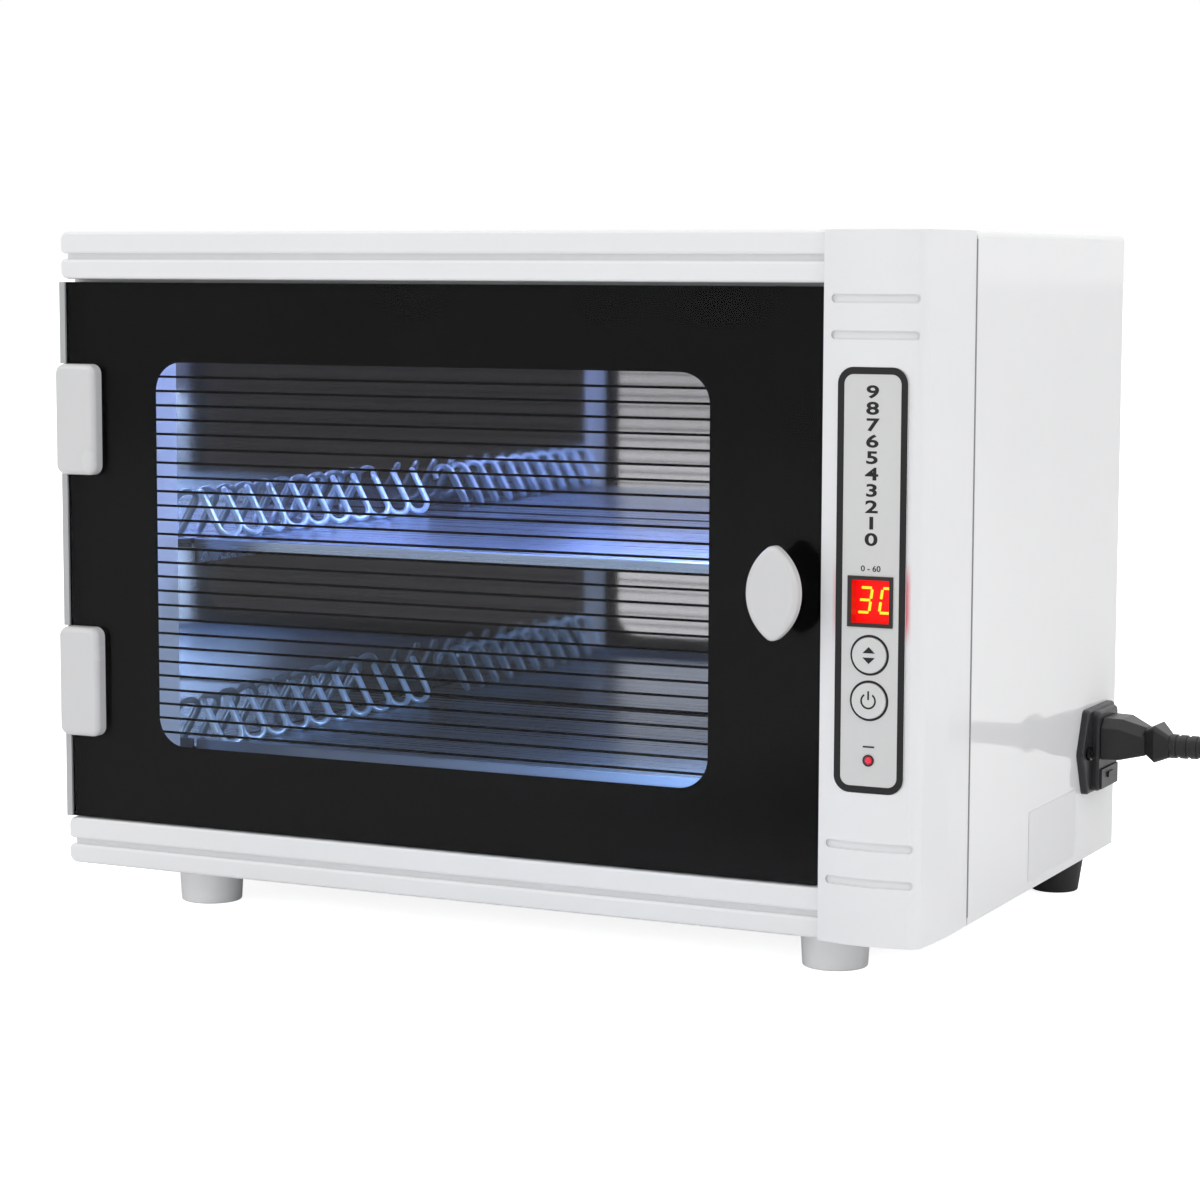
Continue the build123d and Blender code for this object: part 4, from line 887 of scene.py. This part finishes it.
@dataclass
class ControlPanel(Assembly):
    """The pod's panel: its border, marks, display, keys and lamp."""

    looks: ClassVar[Looks] = {
        "moulded white plastic with painted red display glow": ("control_pod",),
        "silver grey film": ("overlay_panel",),
        "dark display frame": ("display_bezel",),
        "red display pane": ("display_window",),
        "lit red field": ("display_module",),
        "lit figures": ("display_digits",),
        "key film": ("select_key", "power_key"),
        "dark switch plastic": ("select_switch", "power_switch"),
        "red lens": ("power_lamp",),
        "lacquered board": ("control_board",),
    }

    centre_u: float = -21.0
    front_v: float = -4.4
    low: float = 56.6
    high: float = 210.9
    width: float = 26.8
    border: float = 2.5
    outer_corner: float = 6.0
    inner_corner: float = 3.6
    first_figure_w: float = 201.9
    figure_pitch: float = 5.9
    range_w: float = 138.4
    key_heights: Pair = (107.1, 90.5)
    key_rings: Pair = (7.42, 6.63)
    key_rise: float = 1.0
    arrow_half: float = 2.4
    arrow_reach: Pair = (0.8, 3.1)
    power_rings: Pair = (3.0, 2.35)
    power_gap: float = 35.0
    power_stroke: Outline = field(default_factory=lambda: box(-0.33, 0.4, 0.33, 3.6))
    lamp_bar: Outline = field(default_factory=lambda: box(-2.2, -0.3, 2.2, 0.3))
    lamp_bar_w: float = 73.6
    lamp_w: float = 68.6
    lamp_rings: Pair = (2.15, 1.62)

    def on_panel(self, w: float, rise: float = 0.0) -> Vector:
        """A point of the panel's middle line at a height, and so far in front of the film, in metres."""
        return spot(self.centre_u, self.front_v - rise, w)

    def mark(
        self, name: str, outlines: Sequence[Outline], w: float, thick: float = 0.05, rise: float = 0.0
    ) -> bpy.types.Object:
        """Draws a flat mark about a point of the panel's middle line."""
        return drawn(name, outlines, Facing.FRONT, self.on_panel(w, rise), thick)

    def build(self) -> None:
        """Makes the printed border, the column of figures, the rings and the keys' marks."""
        middle, height = (self.low + self.high) / 2, self.high - self.low
        outer = rounded_box(self.width, height, self.outer_corner)
        inner = rounded_box(self.width - 2 * self.border, height - 2 * self.border, self.inner_corner)
        border = self.mark("panel_border", [outer, inner], middle)
        self.palette.settle(border, "black print", "cabinet")
        self.palette.settle(joined("panel_marks", self.build_marks()), "black print", "cabinet")
        self.build_key_marks()

    def build_marks(self) -> list[bpy.types.Object]:
        """Makes the marks on the film: figures, range, bar over the lamp and rings.

        Returns:
            The marks, each an object of its own.
        """
        marks = []
        for k in range(10):
            place = self.on_panel(self.first_figure_w - k * self.figure_pitch)
            marks.append(figures(f"mark_{k}", str(9 - k), place, height=4.5, stretch=1.6, weight=0.16))
        place = self.on_panel(self.range_w)
        marks.append(figures("range_mark", "0 - 60", place, height=2.1, stretch=1.1, weight=0.05))
        marks.append(self.mark("lamp_mark", [self.lamp_bar], self.lamp_bar_w))
        for index, w in enumerate(self.key_heights):
            rings = [circle(radius, 96) for radius in self.key_rings]
            marks.append(self.mark(f"key_ring_{index}", rings, w, thick=0.06))
        rings = [circle(radius) for radius in self.lamp_rings]
        marks.append(self.mark("lamp_ring", rings, self.lamp_w, thick=0.25))
        return marks

    def build_key_marks(self) -> None:
        """Makes the arrows on the first key and the circle and bar on the second."""
        half, (near, far) = self.arrow_half, self.arrow_reach
        arrows = [
            [(-half, near), (half, near), (0, far)],
            [(-half, -near), (0, -far), (half, -near)],
        ]
        outer, inner = self.power_rings
        start, end = self.power_gap, 360 - self.power_gap
        symbol = [arc(outer, start, end) + arc(inner, end, start), self.power_stroke]
        for key, outlines, w in zip(("select", "power"), (arrows, symbol), self.key_heights):
            mark = self.mark(key + "_mark", outlines, w, thick=0.04, rise=self.key_rise)
            self.palette.settle(mark, "black print", key + "_key")


@dataclass
class Door(Assembly):
    """The glass door with its print, trim, hinges and knob."""

    looks: ClassVar[Looks] = {
        "clear door glass": ("door_glass",),
        "pale edge trim": ("door_edge_strip",),
        # The knob and hinge clamps get the darker copy of the white plastic, which is painted shade.
        "moulded white plastic with painted shade": ("door_knob", "lower_hinge_clamp", "upper_hinge_clamp"),
        "screw steel": ("knob_screw",),
        "hinge steel": ("lower_hinge_bracket", "upper_hinge_bracket", "hinge_pins", "strike_plate"),
        "dark catch plastic": ("magnet_catch",),
        "dark switch plastic": ("door_switch",),
        "plunger plastic": ("door_plunger",),
    }

    sheet_u: Pair = (-374.4, -42.0)
    sheet_w: Pair = (19.8, 239.6)
    sheet_v: float = 5.12
    sheet_thick: float = 0.1
    notch_right: float = -359.6
    notch_half: float = 19.5
    hinge_heights: Pair = (76.6, 184.0)
    knob: Pair = (-54.6, 128.9)
    knob_hole: float = 2.3
    window_left: float = 41.9
    window_low: float = 51.4
    window_size: Pair = (244.2, 156.2)
    window_corner: float = 12.0
    corner_curve: float = 26.0
    lines: int = 26
    lines_v: float = 5.11
    line_height: float = 1.0
    line_overlap: float = 0.5
    line_thick: float = 0.08

    def build(self) -> None:
        """Makes the print behind the glass, with the window's thin lines."""
        (left, right), (low, high) = self.sheet_u, self.sheet_w
        outline = box(left, low, right, high)
        for w in reversed(self.hinge_heights):
            outline += reversed(box(left, w - self.notch_half, self.notch_right, w + self.notch_half))
        width, height = self.window_size
        middle = (left + self.window_left + width / 2, self.window_low + height / 2)
        window = rounded_box(width, height, self.window_corner, middle)
        hole = circle(self.knob_hole, 32, self.knob)
        back = spot(0, self.sheet_v, 0)
        sheets = [drawn("door_sheet", [outline, window, hole], Facing.FRONT, back, self.sheet_thick)]
        sheets += [self.line(line, middle[0]) for line in range(self.lines)]
        sheet = self.palette.settle(joined("door_print", sheets), "dark print behind the glass", "door")
        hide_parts("glass_print")

    def line(self, index: int, middle: float) -> bpy.types.Object:
        """Makes one of the window's lines, drawn in where it meets the round corners.

        Args:
            index: Which line it is, from the lowest.
            middle: Where the window's middle is, in u.

        Returns:
            The line.
        """
        width, height = self.window_size
        up = (index + 1) * height / (self.lines + 1)
        reach = max(0.0, self.window_corner - min(up, height - up))
        across = width / 2 - reach**2 / self.corner_curve + self.line_overlap
        level, half = self.window_low + up, self.line_height / 2
        bar = box(middle - across, level - half, middle + across, level + half)
        return drawn(f"line_{index}", [bar], Facing.FRONT, spot(0, self.lines_v, 0), self.line_thick)


@dataclass
class Chamber(Assembly):
    """The mirror-bright chamber with its trays, racks and lit lamp."""

    looks: ClassVar[Looks] = {
        "bright chamber steel": ("chamber_liner", "lamp_reflector"),
        "tray steel with painted blue light": ("left_ledge", "right_ledge", "upper_tray", "lower_tray"),
        "rack wire with painted blue light": ("upper_rack", "lower_rack"),
        "lit lamp tube": ("uv_tube",),
        "lamp holder plastic": ("left_lamp_holder", "right_lamp_holder"),
        "ballast paint": ("ballast",),
    }


@dataclass
class Lead(Assembly):
    """The mains inlet, its connector and the whole lead beside the cabinet."""

    looks: ClassVar[Looks] = {
        "black moulded plastic": ("mains_inlet", "fuse_drawer"),
        "contact brass": ("inlet_contacts",),
        "fuse glass": ("fuse",),
        "lead sheath": ("mains_connector", "strain_relief", "mains_plug"),
    }

    diameter: float = 7.0
    floor_gap: float = 0.1
    turns: float = 5.75
    layers: int = 4
    outer_radius: float = 42.0
    pitch: float = 8.0
    layer_height: float = 7.5
    climb: float = 0.5
    start: Pair = (182.0, 186.0)
    run_in: float = 20.0
    tail: float = 62.0
    tail_ease: float = 22.0
    plug_radius: float = 18.5
    points_per_turn: int = 16
    length: float = 1.5
    relief_end: Place = (57.0, 208.2, 48.4)
    bends: Sequence[Place] = (
        (20.0, 0.0, 0.0), (36.5, -1.0, 0.125), (48.0, -3.0, 0.353), (52.6, -5.0, 0.639),
        (64.0, -9.0, 0.867), (80.4, -14.5, 0.992),
    )
    tie_clearance: float = 0.6
    tie_thick: float = 0.8
    tie_corners: Pair = (3.5, 2.8)
    tie_edges: Pair = (5.0, 4.4)
    tie_edge_shrink: float = 0.25

    def coil_centre(self) -> Vector:
        """The middle of the coil's lowest layer, in millimetres."""
        height = self.diameter / 2 + self.floor_gap
        return Vector((RIGHT_X + self.start[0], FRONT_Y + self.start[1] + self.outer_radius, height))

    def coil_place(self, turn: float) -> tuple[Vector, Vector]:
        """A point of the coil's centreline and its direction there.

        Args:
            turn: How many turns in.

        Returns:
            The point in millimetres and a unit direction.
        """
        each = self.turns / self.layers
        layer = min(int(turn / each), self.layers - 1)
        done = turn - layer * each
        inward = layer % 2 == 0
        radius = self.outer_radius - self.pitch * (done if inward else each - done)
        nearest = round(turn / each)
        share = (turn - nearest * each) / self.climb + 0.5
        height, rise = layer * self.layer_height, 0.0
        if 0 < nearest < self.layers and 0 <= share <= 1:
            height = (nearest - 1 + 3 * share**2 - 2 * share**3) * self.layer_height
            rise = 6 * share * (1 - share) / self.climb * self.layer_height
        angle = 2 * pi * turn - pi / 2
        out, on = Vector((cos(angle), sin(angle), 0)), Vector((-sin(angle), cos(angle), 0))
        drift = -self.pitch if inward else self.pitch
        way = on * (2 * pi * radius) + out * drift + Vector((0, 0, rise))
        return self.coil_centre() + out * radius + Vector((0, 0, height)), way.normalized()

    def route(self) -> list[Vector]:
        """Lists the lead's control points from its relief to its plug.

        Returns:
            The points, in metres.
        """
        start, way = self.coil_place(0)
        u, v, w = self.relief_end
        drop = w + FOOT_HEIGHT - self.diameter / 2 - self.floor_gap
        points = [spot(u, v, w)]
        points += [spot(u + out, v + back, w - share * drop) for out, back, share in self.bends]
        points.append((start - way * self.run_in) * MILLIMETRE)
        count = round(self.turns * self.points_per_turn)
        points += [self.coil_place(k / self.points_per_turn)[0] * MILLIMETRE for k in range(count + 1)]
        end, leave = self.coil_place(self.turns)
        entry = Vector((end.x, end.y - self.tail, self.plug_radius + self.floor_gap))
        last = (end + leave * self.tail_ease, entry + Vector((0, self.tail_ease, 0)), entry)
        return points + [place * MILLIMETRE for place in last]

    def build(self) -> None:
        """Makes the lead on its own smooth line and the tie round its coil."""
        curve = bpy.data.curves.new("mains_lead", "CURVE")
        curve.dimensions = "3D"
        curve.bevel_depth = self.diameter / 2 * MILLIMETRE
        curve.bevel_resolution = 6
        curve.resolution_u = 6
        curve.use_fill_caps = True
        route = self.route()
        spline = curve.splines.new("NURBS")
        spline.points.add(len(route) - 1)
        for point, place in zip(spline.points, route):
            point.co = (*place, 1)
        spline.order_u = 3
        spline.use_endpoint_u = True
        lead = self.palette.settle(link("mains_lead", curve), "lead sheath", "cabinet")
        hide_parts("cord_run", "cord_coil", "cord_tail")
        tie = self.build_tie()

    def build_tie(self) -> bpy.types.Object:
        """Makes the cloth tie round the coil's turns.

        Returns:
            The tie.
        """
        centre = self.coil_centre()
        half_band = self.pitch * self.turns / self.layers / 2
        middle = self.outer_radius - half_band
        half_width = half_band + self.diameter / 2 + self.tie_clearance
        top = (self.layers - 1) * self.layer_height + self.diameter + self.tie_thick
        lift = 0.05
        lowest = 0.02
        corner, inner_corner = self.tie_corners
        inner_top = top - self.tie_thick
        outer = rounded_box(2 * half_width, top, corner, (middle, top / 2), 6)
        inner = rounded_box(
            2 * (half_width - self.tie_thick), inner_top - lift, inner_corner,
            (middle, (inner_top + lift) / 2), 6,
        )
        edge, shoulder = self.tie_edges
        work = bmesh.new()
        rows = []
        for across in (-edge, -shoulder, shoulder, edge):
            shrink = self.tie_edge_shrink if abs(across) == edge else 0.0
            for ring, grow in ((outer, 1 - shrink / half_width), (inner, 1.0)):
                places = [
                    Vector((centre.x - across, centre.y - middle - (x - middle) * grow, max(z, lowest)))
                    for x, z in ring
                ]
                rows.append([work.verts.new(place * MILLIMETRE) for place in places])
        order = rows[::2] + rows[::-2]
        for first, second in zip(order, order[1:] + order[:1]):
            for k in range(len(first)):
                after = (k + 1) % len(first)
                work.faces.new((first[k], first[after], second[after], second[k]))
        bmesh.ops.recalc_face_normals(work, faces=work.faces)
        return self.palette.settle(from_work("coil_tie", work), "cloth tie", "cabinet")


class Studio:
    """The floor, the white surround, the lamps and the camera, in metres."""

    camera_place = (0.55993, -1.162919, 0.261028)
    camera_right = (0.9006869, 0.4344587, 0.0029502)
    camera_up = (-0.0489312, 0.0946886, 0.9943037)
    camera_back = (0.4317045, -0.8957007, 0.1065434)
    aim = Vector((0.0, 0.0, 0.12))
    lamps = (
        ("key lamp", (-1.6, -2.2, 2.1), 1.8, 17.0),
        ("side lamp", (2.4, -0.9, 1.5), 1.6, 12.0),
        ("top lamp", (0.2, 0.3, 2.6), 2.0, 17.0),
    )
    chamber_lamps = (
        ("lower chamber lamp", spot(-150.0, 60.0, 120.0), (0.1, 0.05), 0.06),
        ("lower tray lamp", spot(-112.0, 54.0, 90.0), (0.06, 0.08), 0.2),
        ("upper tray lamp", spot(-108.0, 46.0, 176.0), (0.06, 0.06), 0.16),
    )
    chamber_light = (0.46, 0.66, 1.0)
    hidden_strength = 0.72
    surround_right = (0.0, 0.3)
    surround_ahead = (-0.4, 0.0)
    surround_dimming = 0.92
    floor_half = 50.0
    floor_right = (-0.1, 0.1)
    floor_ahead = (-0.45, -0.3)
    floor_color = (0.93, 0.93, 0.93, 1)
    floor_dark = (0.05, 0.05, 0.055, 1)
    floor_lift = 0.84

    def build(self) -> None:
        """Makes everything that isn't part of the object."""
        self.build_camera()
        self.build_world()
        self.build_floor()
        for name, place, side, power in self.lamps:
            lamp = self.build_lamp(name, place, (side, side), power)
            lamp.rotation_euler = (self.aim - lamp.location).to_track_quat("-Z", "Y").to_euler()
        for name, place, size, power in self.chamber_lamps:
            self.build_lamp(name, place, size, power).data.color = self.chamber_light
        bpy.context.scene.view_settings.view_transform = "Standard"

    def build_camera(self) -> None:
        """Puts the camera where the photograph was taken from."""
        data = bpy.data.cameras.new("camera")
        data.sensor_fit = "HORIZONTAL"
        data.sensor_width = 36.0
        data.lens = 93.4096
        data.clip_end = 60.0
        camera = link("camera", data)
        columns = Matrix((self.camera_right, self.camera_up, self.camera_back)).transposed()
        camera.matrix_world = Matrix.Translation(self.camera_place) @ columns.to_4x4()
        bpy.context.scene.camera = camera

    @staticmethod
    def mirrored(graph: Graph, path: bpy.types.Node) -> bpy.types.NodeSocket:
        """Tells whether something is seen in a mirroring surface or through a clear one."""
        return graph.math("MAXIMUM", path.outputs["Is Glossy Ray"], path.outputs["Is Transmission Ray"])

    @staticmethod
    def dimming(
        graph: Graph, axes: bpy.types.Node, right: Pair, ahead: Pair, depth: float
    ) -> bpy.types.NodeSocket:
        """How far what lies to the right in front is dimmed: more along right, and less along ahead."""
        over = graph.ramp(axes.outputs[0], *right, 0.0, depth)
        return graph.product(over, graph.ramp(axes.outputs[1], *ahead, 1.0, 0.0))

    def build_world(self) -> None:
        """Makes the white surround, dim towards the right front for what mirrors or refracts it."""
        world = bpy.data.worlds.new("surround")
        graph = Graph.fresh(world)
        path = graph.add("LightPath")
        mirrored = self.mirrored(graph, path)
        seen = graph.math("MAXIMUM", path.outputs["Is Camera Ray"], mirrored)
        way = graph.add("SeparateXYZ", values=(graph.add("TexCoord").outputs["Generated"],))
        dim = self.dimming(graph, way, self.surround_right, self.surround_ahead, self.surround_dimming)
        kept = graph.math("SUBTRACT", 1.0, graph.product(dim, mirrored))
        strength = graph.product(graph.ramp(seen, 0.0, 1.0, self.hidden_strength, 1.0), kept)
        back = graph.add("Background", Color=(1, 1, 1, 1), Strength=strength)
        graph.add("OutputWorld", Surface=back.outputs[0])
        bpy.context.scene.world = world

    def build_floor(self) -> None:
        """Makes the white floor, lifted to pure white where the camera sees it lit.

        Where it lies to the right in front, it is dark to what mirrors or refracts it, like the surround.
        """
        work = bmesh.new()
        bmesh.ops.create_grid(work, x_segments=8, y_segments=8, size=self.floor_half)
        floor = from_work("floor", work)
        material = bpy.data.materials.new("white floor")
        graph = Graph.fresh(material)
        speck = graph.add("TexNoise", Vector=graph.place(), Scale=3.0, Detail=3.0)
        rough = graph.ramp(speck.outputs[0], 0.0, 1.0, 0.5, 0.6)
        path = graph.add("LightPath")
        dim = self.dimming(graph, graph.axes(), self.floor_right, self.floor_ahead, 1.0)
        dark = graph.product(dim, self.mirrored(graph, path))
        color = graph.mix(dark, self.floor_color, self.floor_dark)
        shader = graph.add("BsdfPrincipled", Base_Color=color, Roughness=rough)
        lift = graph.product(path.outputs["Is Camera Ray"], self.floor_lift)
        light = graph.add("Emission", Color=(1, 1, 1, 1), Strength=lift)
        both = graph.add("AddShader", values=(shader.outputs[0], light.outputs[0]))
        graph.add("OutputMaterial", Surface=both.outputs[0])
        floor.data.materials.append(material)

    @staticmethod
    def build_lamp(name: str, place: Sequence[float], size: Pair, power: float) -> bpy.types.Object:
        """Makes a soft lamp that looks down.

        Args:
            name: The lamp's name.
            place: Its place in metres.
            size: How far it reaches in its two directions, in metres.
            power: Its power in watts.

        Returns:
            The lamp.
        """
        data = bpy.data.lights.new(name, "AREA")
        data.shape = "RECTANGLE"
        data.size, data.size_y = size
        data.energy = power
        lamp = link(name, data)
        lamp.location = place
        return lamp


def main() -> None:
    """Builds the stage, then dresses and completes each sub-assembly in order."""
    logging.basicConfig(level=logging.INFO, format="%(name)s: %(message)s")
    Studio().build()
    palette = Palette(Effects())
    for kind in (Lead, Shell, ControlPanel, Door, Chamber):
        assembly = kind(palette)
        assembly.dress()
        assembly.build()


if __name__ == "__main__":
    main()
